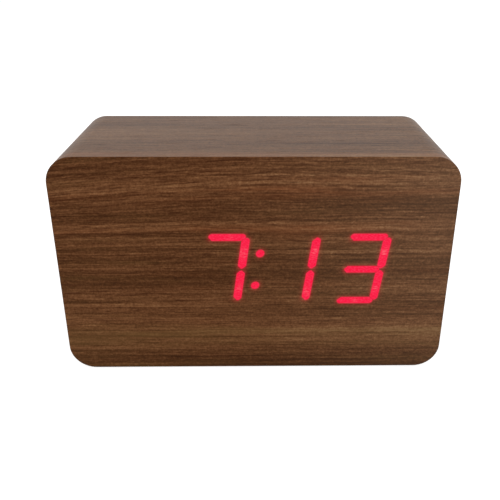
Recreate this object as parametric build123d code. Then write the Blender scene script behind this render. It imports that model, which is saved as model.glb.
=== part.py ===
# A desk clock in a wood-veneered block, whose four-digit display shines through the veneer.
# X runs to the right as the clock is read, Y from its front to its back, and Z up.
# The origin is under the middle of the clock, on the surface that its feet stand on.
# Sizes are in millimetres and angles in degrees.
from build123d import *

import math
import os

# Case: a veneered block with a hollow core of fibreboard
case_width = 150.0
case_height = 90.0
case_depth = 60.0
case_corner_radius = 10.0
veneer_thickness = 0.5
veneer_edge_chamfer = 0.2
side_wall = 6.0
front_wall = 4.0
back_board_thickness = 5.0
back_board_ledge = 2.0
joinery_clearance = 0.15
cut_overrun = 1.0

# Feet: round pads stuck under the case
foot_height = 1.0
foot_radius = 5.0
foot_draft = 0.3
foot_from_side = 16.0
foot_from_front = 10.0

# Digits: seven strokes each, measured between the centre lines of their strokes
digit_count = 4
digit_pitch = 26.7
digit_width = 14.26
digit_rise = 27.24
digit_slant = 8.05
stroke_width = 3.31
stroke_joint = 0.075
stroke_tip_shift = 0.44
stroke_tip_radius = 0.75
stroke_tip_limit_share = 0.24
colon_dot_radius = 1.78
colon_dot_height = 6.87
display_offset = 1.0
lit_strokes = {1: "abc", 2: "bc", 3: "abcdg"}
lit_names = {1: "lit_hour", 2: "lit_minute_tens", 3: "lit_minute_units"}
light_spread = 0.2
patch_gap = 0.02

# Display module: light wells, diffuser, lamps and their circuit board
window_margin = 2.0
window_corner_radius = 2.0
window_clearance = 0.2
diffuser_thickness = 0.2
well_draft = 0.35
module_side_land = 8.0
module_top_land = 3.5
module_flange = 4.0
module_corner_radius = 1.5
circuit_board = 1.6
lamp_length = 2.0
lamp_width = 1.25
lamp_height = 0.8
lamp_place_share = 0.25
driver_chip_length = 18.0
driver_chip_width = 7.5
chip_height = 1.8
driver_chip_drop = 9.0
resistor_length = 2.0
resistor_width = 1.25
resistor_height = 0.6
resistor_count = 8
resistor_pitch = 4.0
resistor_drop = 15.75

# Module screws, which hold the board and the wells to the front wall
module_screw_radius = 1.3
module_screw_bite = 2.8
screw_hole_clearance = 0.08
screw_head_radius = 2.4
screw_head_height = 1.4
module_screw_from_edge = 5.0

# Control panel: a moulded tray let into the back
panel_width = 112.0
panel_height = 30.0
panel_corner_radius = 4.0
panel_rim = 1.8
panel_recess = 0.2
panel_rise = 4.0
pocket_width = 92.0
pocket_height = 22.0
pocket_corner_radius = 3.0
pocket_depth = 6.0
pocket_draft = 0.6
tray_wall = 1.6
tray_floor = 2.0
rim_edge_chamfer = 0.3
panel_screw_radius = 1.1
panel_screw_length = 4.6
panel_screw_head_radius = 2.2
panel_screw_from_edge = 5.0

# Buttons and their tactile switches
button_names = ("set", "down", "up")
button_pitch = 15.0
button_first_place = 34.0
button_radius = 3.75
button_height = 3.6
button_clearance = 0.25
button_edge_chamfer = 0.5
button_flange_radius = 5.0
button_flange = 1.0
button_play = 0.1
button_travel = 0.5
button_stem_radius = 1.7
button_collar = 1.0
button_collar_width = 1.1
switch_size = 6.0
switch_height = 3.4
plunger_radius = 1.7
plunger_rise = 1.0
plunger_depth = 1.0
plunger_clearance = 0.1

# Control board behind the panel and what stands on it
control_standoff = 8.0
control_board_width = 88.0
control_board_height = 20.0
boss_radius = 2.4
boss_from_end = 3.0
boss_from_edge = 3.0
control_screw_radius = 0.9
control_screw_bite = 5.0
control_screw_head_radius = 1.8
control_screw_head_height = 1.2
buzzer_place = -10.0
buzzer_radius = 4.5
buzzer_height = 5.5
buzzer_port_radius = 0.9
buzzer_port_depth = 1.0
sound_hole_radius = 0.6
sound_hole_ring = 2.6
sound_hole_count = 6
microphone_place = -21.0
microphone_radius = 3.0
microphone_height = 2.7
microphone_tube_wall = 0.8
microphone_tube_clearance = 0.15
processor_place = 17.0
processor_length = 10.0
processor_width = 6.4
crystal_place = 28.0
crystal_radius = 1.0
crystal_length = 6.2
backup_cell_place = -22.0
backup_cell_radius = 6.25
backup_cell_thickness = 2.0
clip_width = 4.0
clip_thickness = 0.4
clip_clearance = 0.3

# Low-voltage inlet: a socket with a contact pin
jack_place = -33.5
jack_body = 9.0
jack_nose_radius = 4.2
jack_nose_clearance = 0.15
jack_bore_radius = 2.8
jack_bore_depth = 9.0
jack_pin_radius = 1.0
jack_pin_setback = 1.0
jack_pin_root = 0.5
jack_pin_neck = 0.5
jack_pin_neck_radius = 0.8
jack_body_gap = 0.1

# Battery bay: small cells side by side under the clock, as many as its depth has room for
cell_radius = 5.25
cell_length = 43.7
cell_nub_radius = 1.9
cell_nub_height = 0.8
least_cell_gap = 0.4
bay_gap = 0.75
bay_side_clearance = 0.25
bay_side_wall = 2.0
bay_end_wall = 3.6
bay_roof = 1.5
cell_headroom = 0.5
cell_door_gap = 0.4
bay_flange = 1.6
bay_flange_side_land = 1.5
bay_flange_end_land = 6.0
bay_flange_corner_radius = 3.0
bay_recess = 0.2
bay_screw_radius = 1.1
bay_screw_length = 5.0
bay_screw_head_radius = 2.2
bay_screw_inset = 6.5
positive_contact = 1.0
negative_contact = 6.0
contact_plate = 0.4
contact_width = 7.0
contact_height = 4.4
contact_dish_radius = 1.4
leaf_width = 4.0

# Battery door: a hinged lid with a latch finger
door_ledge = 0.9
door_gap = 0.25
door_thickness = 1.6
door_corner_radius = 1.2
door_open_angle = 80.0
hinge_from_bay_end = 1.55
hinge_rise = 1.0
knuckle_radius = 1.2
knuckle_width = 1.2
knuckle_side_gap = 0.15
hinge_pin_radius = 0.7
hinge_pin_length = 1.4
hinge_pin_clearance = 0.05
hinge_swing_clearance = 0.12
latch_width = 8.0
latch_thickness = 1.0
latch_height = 3.0
latch_nib = 0.45
latch_clearance = 0.25
groove_count = 4
groove_pitch = 1.6
groove_width = 0.7
groove_depth = 0.5
groove_length = 9.0
groove_from_end = 4.0
door_finger_radius = 5.0
door_finger_depth = 0.9

# Leads inside the case
ribbon_width = 10.0
ribbon_thickness = 0.6
ribbon_place = 2.0
ribbon_bend_radius = 3.0
ribbon_drop = 22.0
ribbon_loop_gap = 7.0
plug_length = 13.0
plug_height = 4.5
plug_depth = 5.0
ribbon_plug_rise = 6.0
lead_radius = 0.65
lead_side_count = 8
lead_bend_radius = 5.0
lead_place = 25.0
lead_pitch = 3.0
lead_board_drop = 7.5
lead_foot_place = 2.0

# Planes and places worked out from the sizes above
case_bottom = foot_height
case_middle = case_bottom + case_height / 2
front_face = -case_depth / 2
back_face = case_depth / 2
core_front = front_face + veneer_thickness
core_back = back_face - veneer_thickness
core_width = case_width - 2 * veneer_thickness
core_height = case_height - 2 * veneer_thickness
core_radius = case_corner_radius - veneer_thickness
cavity_front = core_front + front_wall
cavity_back = core_back - back_board_thickness
cavity_width = core_width - 2 * side_wall
cavity_height = core_height - 2 * side_wall
cavity_radius = core_radius - side_wall
seat_width = cavity_width + 2 * back_board_ledge
seat_height = cavity_height + 2 * back_board_ledge
seat_radius = cavity_radius + back_board_ledge

slant_rate = math.tan(math.radians(digit_slant))
digit_row_width = (digit_count - 1) * digit_pitch + digit_width + stroke_width + digit_rise * slant_rate
window_width = digit_row_width + 2 * window_margin
window_height = digit_rise + stroke_width + 2 * window_margin
module_width = window_width + 2 * module_side_land
module_height = window_height + 2 * module_top_land
nose_front = core_front + diffuser_thickness
module_back = cavity_front + module_flange
display_board_back = module_back + circuit_board
module_screw_x = window_width / 2 + module_side_land / 2
module_screw_z = module_height / 2 - module_screw_from_edge

panel_middle = case_middle + panel_rise
rim_face = back_face - panel_recess
rim_back = rim_face - panel_rim
floor_face = rim_face - pocket_depth
floor_back = floor_face - tray_floor
tray_width = pocket_width + 2 * tray_wall
tray_height = pocket_height + 2 * tray_wall
tray_radius = pocket_corner_radius + tray_wall
control_board_face = floor_back - control_standoff
control_board_back = control_board_face - circuit_board
panel_screw_x = (panel_width / 2 + tray_width / 2) / 2
panel_screw_z = panel_height / 2 - panel_screw_from_edge
boss_x = control_board_width / 2 - boss_from_end
boss_z = control_board_height / 2 - boss_from_edge

bay_shift = (cavity_front + cavity_back) / 2
bay_length = cell_length + cell_nub_height + positive_contact + negative_contact
bay_outer_length = bay_length + 2 * bay_end_wall
bay_outer_width = cavity_back - cavity_front - 2 * bay_gap
bay_width = bay_outer_width - 2 * bay_side_wall
cell_row_width = bay_width - 2 * bay_side_clearance
cell_count = math.floor(cell_row_width / (2 * cell_radius + least_cell_gap))
cell_pitch = cell_row_width / cell_count
bay_face = case_bottom + bay_recess
bay_flange_top = bay_face + bay_flange
door_top = bay_face + door_thickness
cell_middle = door_top + cell_door_gap + cell_radius
bay_ceiling = cell_middle + cell_radius + cell_headroom
bay_top = bay_ceiling + bay_roof
opening_length = bay_length + 2 * door_ledge
opening_width = bay_width + 2 * door_ledge
flange_length = bay_outer_length + 2 * bay_flange_end_land
flange_width = bay_outer_width + 2 * bay_flange_side_land
bay_screw_x = bay_outer_length / 2 + bay_flange_end_land / 2
bay_screw_y = flange_width / 2 - bay_screw_inset
door_length = opening_length - 2 * door_gap
door_width = opening_width - 2 * door_gap
hinge_x = -bay_length / 2 + hinge_from_bay_end
hinge_z = door_top + hinge_rise
swing_radius = math.hypot(door_length / 2 + hinge_x, hinge_z - bay_face) + hinge_swing_clearance


def through_depth(sketch, front, back):
    """A sketch of x and z, carried from y = front to y = back."""
    return extrude(Plane.XZ.offset(-back) * sketch, amount=back - front)


def upward(sketch, low, high):
    """A sketch of x and y, carried from z = low to z = high."""
    return extrude(Plane.XY.offset(low) * sketch, amount=high - low)


def level_rod(radius, left, right):
    """A rod along X through y = 0, z = 0, from x = left to x = right."""
    return extrude(Plane.YZ.offset(left) * Circle(radius), amount=right - left)


def grown_rectangle(width, height, radius, gap):
    """A rounded rectangle with a gap added all round."""
    return RectangleRounded(width + 2 * gap, height + 2 * gap, radius + gap)


def at_corners(x, z):
    """The four places at plus and minus x and z of a sketch's middle."""
    return [Pos(i * x, j * z) for i in (-1, 1) for j in (-1, 1)]


def on_case(sketch):
    """A sketch of x and z, moved to the case's middle height."""
    return Pos(0, case_middle) * sketch


def on_panel(x, sketch):
    """A sketch of x and z, moved to x along the control panel's middle line."""
    return Pos(x, panel_middle) * sketch


# Digits


def level_stroke(inset, tip_shift):
    """Outline of a level stroke about its own middle, whose pointed ends lie tip_shift above it."""
    reach = digit_width / 2 - stroke_joint - inset * math.sqrt(2)
    half = stroke_width / 2 - inset
    return [
        (-reach - tip_shift, tip_shift),
        (-reach + half - 2 * tip_shift, half),
        (reach - half + 2 * tip_shift, half),
        (reach + tip_shift, tip_shift),
        (reach - half, -half),
        (-reach + half, -half),
    ]


def upper_right_stroke(inset):
    """Outline of the upper right stroke about the digit's middle."""
    side = digit_width / 2
    low = stroke_joint + inset * math.sqrt(2)
    high = digit_rise / 2 - low
    half = stroke_width / 2 - inset
    return [
        (side, low),
        (side - half, low + half),
        (side - half, high - half),
        (side + stroke_tip_shift, high + stroke_tip_shift),
        (side + half, high - half + 2 * stroke_tip_shift),
        (side + half, low + half),
    ]


def flipped(points, x_sign, z_sign):
    """Points mirrored about the digit's middle."""
    return [(x_sign * x, z_sign * z) for x, z in points]


def stroke_outlines(inset):
    """The upright outlines of a digit's seven strokes, named a to g, each drawn in by inset."""
    top = [(x, digit_rise / 2 + z) for x, z in level_stroke(inset, stroke_tip_shift)]
    right = upper_right_stroke(inset)
    return {
        "a": top,
        "b": right,
        "c": flipped(right, 1, -1),
        "d": flipped(top, 1, -1),
        "e": flipped(right, -1, -1),
        "f": flipped(right, -1, 1),
        "g": level_stroke(inset, 0),
    }


def stroke_face(points):
    """A flat face inside an outline, leaned over by the digits' slant."""
    return make_face(Polyline(*[(x + z * slant_rate, z) for x, z in points], close=True))


def rounded_stroke(points, inset):
    """A stroke's face with its corners rounded."""
    face = stroke_face(points)
    radius = min(stroke_tip_radius, stroke_tip_limit_share * stroke_width) - inset
    return fillet(face.vertices(), radius)


def digit_place(index):
    """The middle of a digit, counted from the left."""
    return Pos(display_offset + (index - (digit_count - 1) / 2) * digit_pitch, case_middle)


def colon_places():
    """The middles of the colon's two dots."""
    return [
        Pos(display_offset + sign * colon_dot_height * slant_rate, case_middle + sign * colon_dot_height)
        for sign in (1, -1)
    ]


def lit_sketches(inset):
    """What the lit strokes and dots cover, as one list of faces for each group."""
    outlines = stroke_outlines(inset)
    groups = {
        lit_names[index]: [digit_place(index) * rounded_stroke(outlines[name], inset) for name in names]
        for index, names in lit_strokes.items()
    }
    groups["lit_colon"] = [place * Circle(colon_dot_radius - inset) for place in colon_places()]
    return groups


# Case


def front_veneer():
    """The sheet over the front, with an opening for each stretch that the light shines through."""
    sheet = through_depth(
        on_case(RectangleRounded(case_width, case_height, case_corner_radius)), front_face, core_front
    )
    sheet = chamfer(sheet.edges().group_by(Axis.Y)[0], veneer_edge_chamfer)
    openings = [
        through_depth(face, front_face - cut_overrun, core_front + cut_overrun)
        for faces in lit_sketches(-patch_gap).values()
        for face in faces
    ]
    return sheet - openings


def lit_patches():
    """The stretches of veneer over the lit strokes, one group for each digit and one for the colon."""
    return {
        name: Compound(children=[through_depth(face, front_face, core_front) for face in faces])
        for name, faces in lit_sketches(0).items()
    }


def wrap_veneer():
    """The sheet that wraps the four sides, open where the battery bay is let in."""
    outside = on_case(RectangleRounded(case_width, case_height, case_corner_radius))
    inside = on_case(RectangleRounded(core_width, core_height, core_radius))
    sleeve = through_depth(outside - inside, core_front, core_back)
    return sleeve - bay_rebate(case_bottom - cut_overrun, case_bottom + veneer_thickness + cut_overrun)


def bay_rebate(low, high):
    """The shallow seat of the battery bay's flange."""
    outline = grown_rectangle(flange_length, flange_width, bay_flange_corner_radius, joinery_clearance)
    return upward(Pos(0, bay_shift) * outline, low, high)


def case_core():
    """The fibreboard block: front wall and four sides, open at the back for its board."""
    outside = on_case(RectangleRounded(core_width, core_height, core_radius))
    cavity = on_case(RectangleRounded(cavity_width, cavity_height, cavity_radius))
    seat = on_case(RectangleRounded(seat_width, seat_height, seat_radius))
    core = through_depth(outside, core_front, core_back)
    core -= through_depth(cavity, cavity_front, core_back + cut_overrun)
    core -= through_depth(seat, cavity_back, core_back + cut_overrun)
    core -= through_depth(window_sketch(0), core_front - cut_overrun, cavity_front + cut_overrun)
    pilot = Circle(module_screw_radius + screw_hole_clearance)
    pilot_end = cavity_front - module_screw_bite - screw_hole_clearance
    for place in module_screw_places():
        core -= through_depth(place * pilot, pilot_end, cavity_front)
    bay_hole = Pos(0, bay_shift) * Rectangle(
        bay_outer_length + 2 * joinery_clearance, bay_outer_width + 2 * joinery_clearance
    )
    core -= upward(bay_hole, case_bottom, case_bottom + side_wall + veneer_thickness + cut_overrun)
    core -= bay_rebate(case_bottom, bay_flange_top)
    screw_hole = Circle(bay_screw_radius + screw_hole_clearance)
    for place in bay_screw_places():
        core -= upward(place * screw_hole, bay_face, bay_face + bay_screw_length + screw_hole_clearance)
    return core


def back_board():
    """The board that closes the case, cut out for the control panel's tray and rim."""
    outside = grown_rectangle(seat_width, seat_height, seat_radius, -joinery_clearance)
    tray_hole = grown_rectangle(tray_width, tray_height, tray_radius, joinery_clearance)
    board = through_depth(on_case(outside), cavity_back, core_back)
    board -= through_depth(on_panel(0, tray_hole), cavity_back - cut_overrun, core_back + cut_overrun)
    board -= through_depth(panel_sketch(joinery_clearance), rim_back, core_back + cut_overrun)
    pilot = Circle(panel_screw_radius + screw_hole_clearance)
    for place in panel_screw_places():
        board -= through_depth(
            place * pilot, rim_face - panel_screw_length - screw_hole_clearance, core_back
        )
    return board


def back_veneer():
    """The sheet over the back, open round the control panel."""
    sheet = through_depth(
        on_case(RectangleRounded(case_width, case_height, case_corner_radius)), core_back, back_face
    )
    sheet = chamfer(sheet.edges().group_by(Axis.Y)[-1], veneer_edge_chamfer)
    return sheet - through_depth(
        panel_sketch(joinery_clearance), core_back - cut_overrun, back_face + cut_overrun
    )


def feet():
    """Four round pads under the corners, a little narrower where they stand."""
    pad = Pos(0, 0, foot_height / 2) * Cone(foot_radius - foot_draft, foot_radius, foot_height)
    x = case_width / 2 - foot_from_side
    y = case_depth / 2 - foot_from_front
    return Compound(children=[Pos(i * x, j * y, 0) * pad for i in (-1, 1) for j in (-1, 1)])


# Display module


def display_middle():
    """The middle of the display, in x and z."""
    return Pos(display_offset, case_middle)


def window_sketch(gap):
    """The display window in the front wall, drawn in by a gap."""
    outline = grown_rectangle(window_width, window_height, window_corner_radius, -gap)
    return display_middle() * outline


def module_sketch():
    """The outline that the light wells' flange and the circuit board share."""
    return display_middle() * RectangleRounded(module_width, module_height, module_corner_radius)


def module_screw_places():
    """The middles of the four module screws, in x and z."""
    return [display_middle() * corner for corner in at_corners(module_screw_x, module_screw_z)]


def diffuser():
    """The milky film between the veneer and the light wells."""
    return through_depth(window_sketch(window_clearance), core_front, nose_front)


def tapered_well(mouth, foot):
    """A light well, wide at its mouth behind the film and narrower at the lamps."""
    sections = [
        (Plane.XZ.offset(-nose_front) * mouth).face(),
        (Plane.XZ.offset(-module_back) * foot).face(),
    ]
    return loft(sections, ruled=True)


def light_wells():
    """The white block that parts the strokes' light, with a well for each stroke and dot."""
    block = through_depth(window_sketch(window_clearance), nose_front, cavity_front)
    block += through_depth(module_sketch(), cavity_front, module_back)
    mouths = stroke_outlines(light_spread)
    feet_of_wells = stroke_outlines(light_spread + well_draft)
    wells = []
    for index in range(digit_count):
        place = digit_place(index)
        for name in mouths:
            mouth = place * stroke_face(mouths[name])
            wells.append(tapered_well(mouth, place * stroke_face(feet_of_wells[name])))
    for place in colon_places():
        bore = place * Circle(colon_dot_radius - light_spread)
        wells.append(through_depth(bore, nose_front, module_back))
    block -= wells
    hole = Circle(module_screw_radius + screw_hole_clearance)
    for place in module_screw_places():
        block -= through_depth(place * hole, cavity_front - cut_overrun, module_back + cut_overrun)
    return block


def display_board():
    """The display's circuit board, screwed on behind the wells."""
    board = through_depth(module_sketch(), module_back, display_board_back)
    hole = Circle(module_screw_radius + screw_hole_clearance)
    for place in module_screw_places():
        board -= through_depth(place * hole, module_back - cut_overrun, display_board_back + cut_overrun)
    return board


def lamps():
    """Two lamps in every stroke's well and one in each dot's."""
    stroke_run = {"level": digit_width, "upright": digit_rise / 2}
    places = []
    for index in range(digit_count):
        for height in (-digit_rise / 2, 0, digit_rise / 2):
            for sign in (-1, 1):
                x = sign * lamp_place_share * stroke_run["level"] + height * slant_rate
                places.append((digit_place(index) * Pos(x, height), Rectangle(lamp_length, lamp_width)))
        for side in (-1, 1):
            for middle in (-digit_rise / 4, digit_rise / 4):
                for sign in (-1, 1):
                    z = middle + sign * lamp_place_share * stroke_run["upright"]
                    x = side * digit_width / 2 + z * slant_rate
                    places.append((digit_place(index) * Pos(x, z), Rectangle(lamp_width, lamp_length)))
    places += [(place, Rectangle(lamp_width, lamp_width)) for place in colon_places()]
    front = module_back - lamp_height
    return Compound(
        children=[through_depth(place * outline, front, module_back) for place, outline in places]
    )


def display_driver():
    """The chip that feeds the lamps, on the back of the display board."""
    outline = Pos(0, -driver_chip_drop) * Rectangle(driver_chip_length, driver_chip_width)
    return through_depth(
        display_middle() * outline, display_board_back, display_board_back + chip_height
    )


def display_resistors():
    """A row of resistors, one for each stroke of a digit and one for the colon."""
    first = -(resistor_count - 1) / 2 * resistor_pitch
    outline = display_middle() * Rectangle(resistor_width, resistor_length)
    resistor = through_depth(outline, display_board_back, display_board_back + resistor_height)
    places = [Pos(first + i * resistor_pitch, 0, -resistor_drop) for i in range(resistor_count)]
    return Compound(children=[place * resistor for place in places])


def cheese_screw(place, seat, tip, shank_radius, head_radius, head_height, head_sign):
    """A screw along Y with its round head on the plane y = seat and its tip at y = tip."""
    head_end = seat + head_sign * head_height
    head = through_depth(place * Circle(head_radius), min(seat, head_end), max(seat, head_end))
    return head + through_depth(place * Circle(shank_radius), min(seat, tip), max(seat, tip))


def module_screws():
    """The four screws that hold the display board and the wells to the front wall."""
    return Compound(
        children=[
            cheese_screw(
                place,
                display_board_back,
                cavity_front - module_screw_bite,
                module_screw_radius,
                screw_head_radius,
                screw_head_height,
                1,
            )
            for place in module_screw_places()
        ]
    )


# Control panel


def panel_sketch(gap):
    """The control panel's outline, grown by a gap."""
    return on_panel(0, grown_rectangle(panel_width, panel_height, panel_corner_radius, gap))


def panel_screw_places():
    """The middles of the four panel screws, in x and z."""
    return [Pos(0, panel_middle) * corner for corner in at_corners(panel_screw_x, panel_screw_z)]


def boss_places():
    """The middles of the bosses that carry the control board."""
    return [Pos(0, panel_middle) * corner for corner in at_corners(boss_x, boss_z)]


def button_place(name):
    """Where a button stands along the panel."""
    return button_first_place - button_names.index(name) * button_pitch


def countersunk_screw(face, length, shank_radius, head_radius):
    """A screw profile turned about Z, with its flat head at z = face and its tip length below."""
    head_depth = head_radius - shank_radius
    profile = Polyline(
        (0, face),
        (head_radius, face),
        (shank_radius, face - head_depth),
        (shank_radius, face - length),
        (0, face - length),
        close=True,
    )
    return revolve(Plane.XZ * make_face(profile), Axis.Z)


def countersink(face, back, shank_radius, head_radius):
    """The seat for a flat-headed screw, from z = face through to z = back, as a solid to cut away."""
    head_depth = head_radius - shank_radius
    hole_radius = shank_radius + screw_hole_clearance
    profile = Polyline(
        (0, face + cut_overrun),
        (hole_radius + head_depth + cut_overrun, face + cut_overrun),
        (hole_radius, face - head_depth),
        (hole_radius, back - cut_overrun),
        (0, back - cut_overrun),
        close=True,
    )
    return revolve(Plane.XZ * make_face(profile), Axis.Z)


def facing_back(solid, x, z):
    """A solid turned about Z, laid so that its Z points out of the clock's back, at x and z."""
    return Pos(x, 0, z) * Rot(X=-90) * solid


def at_panel_corners(solid):
    """Copies of a solid turned about Z, laid facing back at the places of the panel's screws."""
    places = [(i * panel_screw_x, panel_middle + j * panel_screw_z) for i in (-1, 1) for j in (-1, 1)]
    return [facing_back(solid, x, z) for x, z in places]


def panel_screws():
    """The four flat-headed screws at the panel's corners."""
    screw = countersunk_screw(rim_face, panel_screw_length, panel_screw_radius, panel_screw_head_radius)
    return Compound(children=at_panel_corners(screw))


def control_panel():
    """The moulded tray: rim, drafted pocket, button collars, sound holes and bosses for the board."""
    panel = through_depth(panel_sketch(0), rim_back, rim_face)
    panel = chamfer(panel.edges().group_by(Axis.Y)[-1], rim_edge_chamfer)
    tray = on_panel(0, RectangleRounded(tray_width, tray_height, tray_radius))
    panel += through_depth(tray, floor_back, rim_back)
    mouth = on_panel(0, RectangleRounded(pocket_width, pocket_height, pocket_corner_radius))
    base = on_panel(0, grown_rectangle(pocket_width, pocket_height, pocket_corner_radius, -pocket_draft))
    pocket_sections = [
        (Plane.XZ.offset(-floor_face) * base).face(),
        (Plane.XZ.offset(-rim_face) * mouth).face(),
    ]
    panel -= loft(pocket_sections, ruled=True)
    hole_radius = button_radius + button_clearance
    collar_face = floor_face + button_collar
    for name in button_names:
        x = button_place(name)
        collar = on_panel(x, Circle(hole_radius + button_collar_width))
        panel += through_depth(collar, floor_face, collar_face)
        hole = on_panel(x, Circle(hole_radius))
        panel -= through_depth(hole, floor_back - cut_overrun, collar_face + cut_overrun)
    tube = Circle(microphone_radius + microphone_tube_clearance + microphone_tube_wall)
    tube -= Circle(microphone_radius + microphone_tube_clearance)
    panel += through_depth(
        on_panel(microphone_place, tube), control_board_face + microphone_height / 2, floor_back
    )
    for place in boss_places():
        panel += through_depth(place * Circle(boss_radius), control_board_face, floor_back)
        bore = Circle(control_screw_radius + screw_hole_clearance)
        panel -= through_depth(place * bore, control_board_face, control_board_face + control_screw_bite)
    panel -= sound_holes()
    panel -= through_depth(
        on_panel(jack_place, Circle(jack_nose_radius + jack_nose_clearance)),
        floor_back - cut_overrun,
        floor_face + cut_overrun,
    )
    seat = countersink(rim_face, rim_back, panel_screw_radius, panel_screw_head_radius)
    return panel - at_panel_corners(seat)


def sound_holes():
    """The ring of holes over the buzzer and the single one over the microphone."""
    hole = Circle(sound_hole_radius)
    over_buzzer = on_panel(buzzer_place, hole)
    sketches = [over_buzzer, on_panel(microphone_place, hole)]
    for i in range(sound_hole_count):
        angle = 2 * math.pi * i / sound_hole_count
        around = Pos(sound_hole_ring * math.cos(angle), sound_hole_ring * math.sin(angle))
        sketches.append(around * over_buzzer)
    low, high = floor_back - cut_overrun, floor_face + cut_overrun
    return [through_depth(sketch, low, high) for sketch in sketches]


def button(name):
    """A button cap: a chamfered head, a flange that keeps it behind the panel, and a stem to its switch."""
    x = button_place(name)
    flange_face = floor_back - button_play
    flange_back = flange_face - button_flange
    head = through_depth(on_panel(x, Circle(button_radius)), flange_face, floor_face + button_height)
    head = chamfer(head.edges().group_by(Axis.Y)[-1], button_edge_chamfer)
    cap = head + through_depth(on_panel(x, Circle(button_flange_radius)), flange_back, flange_face)
    return cap + through_depth(on_panel(x, Circle(button_stem_radius)), plunger_top(), flange_back)


def plunger_top():
    """The plane where a button's stem meets its switch's plunger."""
    return control_board_face + switch_height + plunger_rise


def switch_body(name):
    """A tactile switch's square body, bored for its plunger."""
    x = button_place(name)
    face = control_board_face + switch_height
    body = through_depth(on_panel(x, Rectangle(switch_size, switch_size)), control_board_face, face)
    bore_floor = face - plunger_depth - button_travel - plunger_clearance
    return body - through_depth(
        on_panel(x, Circle(plunger_radius + plunger_clearance)), bore_floor, face + cut_overrun
    )


def switch_plunger(name):
    """The plunger that a button presses."""
    face = control_board_face + switch_height
    outline = on_panel(button_place(name), Circle(plunger_radius))
    return through_depth(outline, face - plunger_depth, plunger_top())


def control_board():
    """The circuit board behind the panel."""
    outline = on_panel(0, Rectangle(control_board_width, control_board_height))
    board = through_depth(outline, control_board_back, control_board_face)
    hole = Circle(control_screw_radius + screw_hole_clearance)
    low, high = control_board_back - cut_overrun, control_board_face + cut_overrun
    for place in boss_places():
        board -= through_depth(place * hole, low, high)
    return board


def control_board_screws():
    """The four screws that hold the control board to the panel's bosses."""
    return Compound(
        children=[
            cheese_screw(
                place,
                control_board_back,
                control_board_face + control_screw_bite - screw_hole_clearance,
                control_screw_radius,
                control_screw_head_radius,
                control_screw_head_height,
                -1,
            )
            for place in boss_places()
        ]
    )


def buzzer():
    """The round sounder on the control board, with its sound port."""
    top = control_board_face + buzzer_height
    can = through_depth(on_panel(buzzer_place, Circle(buzzer_radius)), control_board_face, top)
    port = on_panel(buzzer_place, Circle(buzzer_port_radius))
    return can - through_depth(port, top - buzzer_port_depth, top)


def microphone():
    """The round microphone capsule that listens for a clap."""
    outline = on_panel(microphone_place, Circle(microphone_radius))
    return through_depth(outline, control_board_face, control_board_face + microphone_height)


def processor_chip():
    """The clock chip on the board's inner side."""
    outline = on_panel(processor_place, Rectangle(processor_length, processor_width))
    return through_depth(outline, control_board_back - chip_height, control_board_back)


def quartz_crystal():
    """The small can that holds the time-keeping crystal, lying on the board."""
    can = level_rod(crystal_radius, -crystal_length / 2, crystal_length / 2)
    return Pos(crystal_place, control_board_back - crystal_radius, panel_middle) * can


def backup_cell():
    """The button cell that keeps the time when the clock is unplugged."""
    outline = on_panel(backup_cell_place, Circle(backup_cell_radius))
    return through_depth(outline, control_board_back - backup_cell_thickness, control_board_back)


def backup_cell_clip():
    """The sprung strip over the button cell, soldered down at both ends."""
    inner_half = backup_cell_radius + clip_clearance
    strap_back = control_board_back - backup_cell_thickness
    span = on_panel(backup_cell_place, Rectangle(2 * (inner_half + clip_thickness), clip_width))
    clip = through_depth(span, strap_back - clip_thickness, control_board_back)
    inside = on_panel(backup_cell_place, Rectangle(2 * inner_half, clip_width + 2 * cut_overrun))
    return clip - through_depth(inside, strap_back, control_board_back + cut_overrun)


def inlet_socket():
    """The low-voltage socket: a square body, a round nose in the panel and a bore round the contact pin."""
    shoulder = floor_back - jack_body_gap
    bore_floor = floor_face - jack_bore_depth
    square = on_panel(jack_place, Rectangle(jack_body, jack_body))
    body = through_depth(square, control_board_face, shoulder)
    body += through_depth(on_panel(jack_place, Circle(jack_nose_radius)), shoulder, floor_face)
    bore = on_panel(jack_place, Circle(jack_bore_radius))
    body -= through_depth(bore, bore_floor, floor_face + cut_overrun)
    return body - pin_neck(bore_floor)


def pin_neck(top):
    """The contact pin's narrow neck, from its end in the floor of the bore up to y = top."""
    outline = on_panel(jack_place, Circle(jack_pin_neck_radius))
    return through_depth(outline, floor_face - jack_bore_depth - jack_pin_root, top)


def inlet_pin():
    """The socket's contact pin, turned down to a neck where it is set in the floor of the bore."""
    neck_top = floor_face - jack_bore_depth + jack_pin_neck
    outline = on_panel(jack_place, Circle(jack_pin_radius))
    pin = through_depth(outline, neck_top, floor_face - jack_pin_setback)
    return chamfer(pin.edges().group_by(Axis.Y)[-1], jack_pin_radius / 2) + pin_neck(neck_top)


# Battery bay


def bay_screw_places():
    """The middles of the battery bay's four screws, in x and y."""
    return [Pos(0, bay_shift) * corner for corner in at_corners(bay_screw_x, bay_screw_y)]


def at_bay_corners(solid):
    """Copies of a solid turned about Z, laid facing down at the places of the bay's screws."""
    turned = Rot(X=180) * solid
    return [Pos(i * bay_screw_x, bay_shift + j * bay_screw_y, 0) * turned for i in (-1, 1) for j in (-1, 1)]


def cell_row(index):
    """A cell's place across the bay, and which way its positive end points."""
    y = bay_shift + (index - (cell_count - 1) / 2) * cell_pitch
    return y, (1 if index % 2 else -1)


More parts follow.
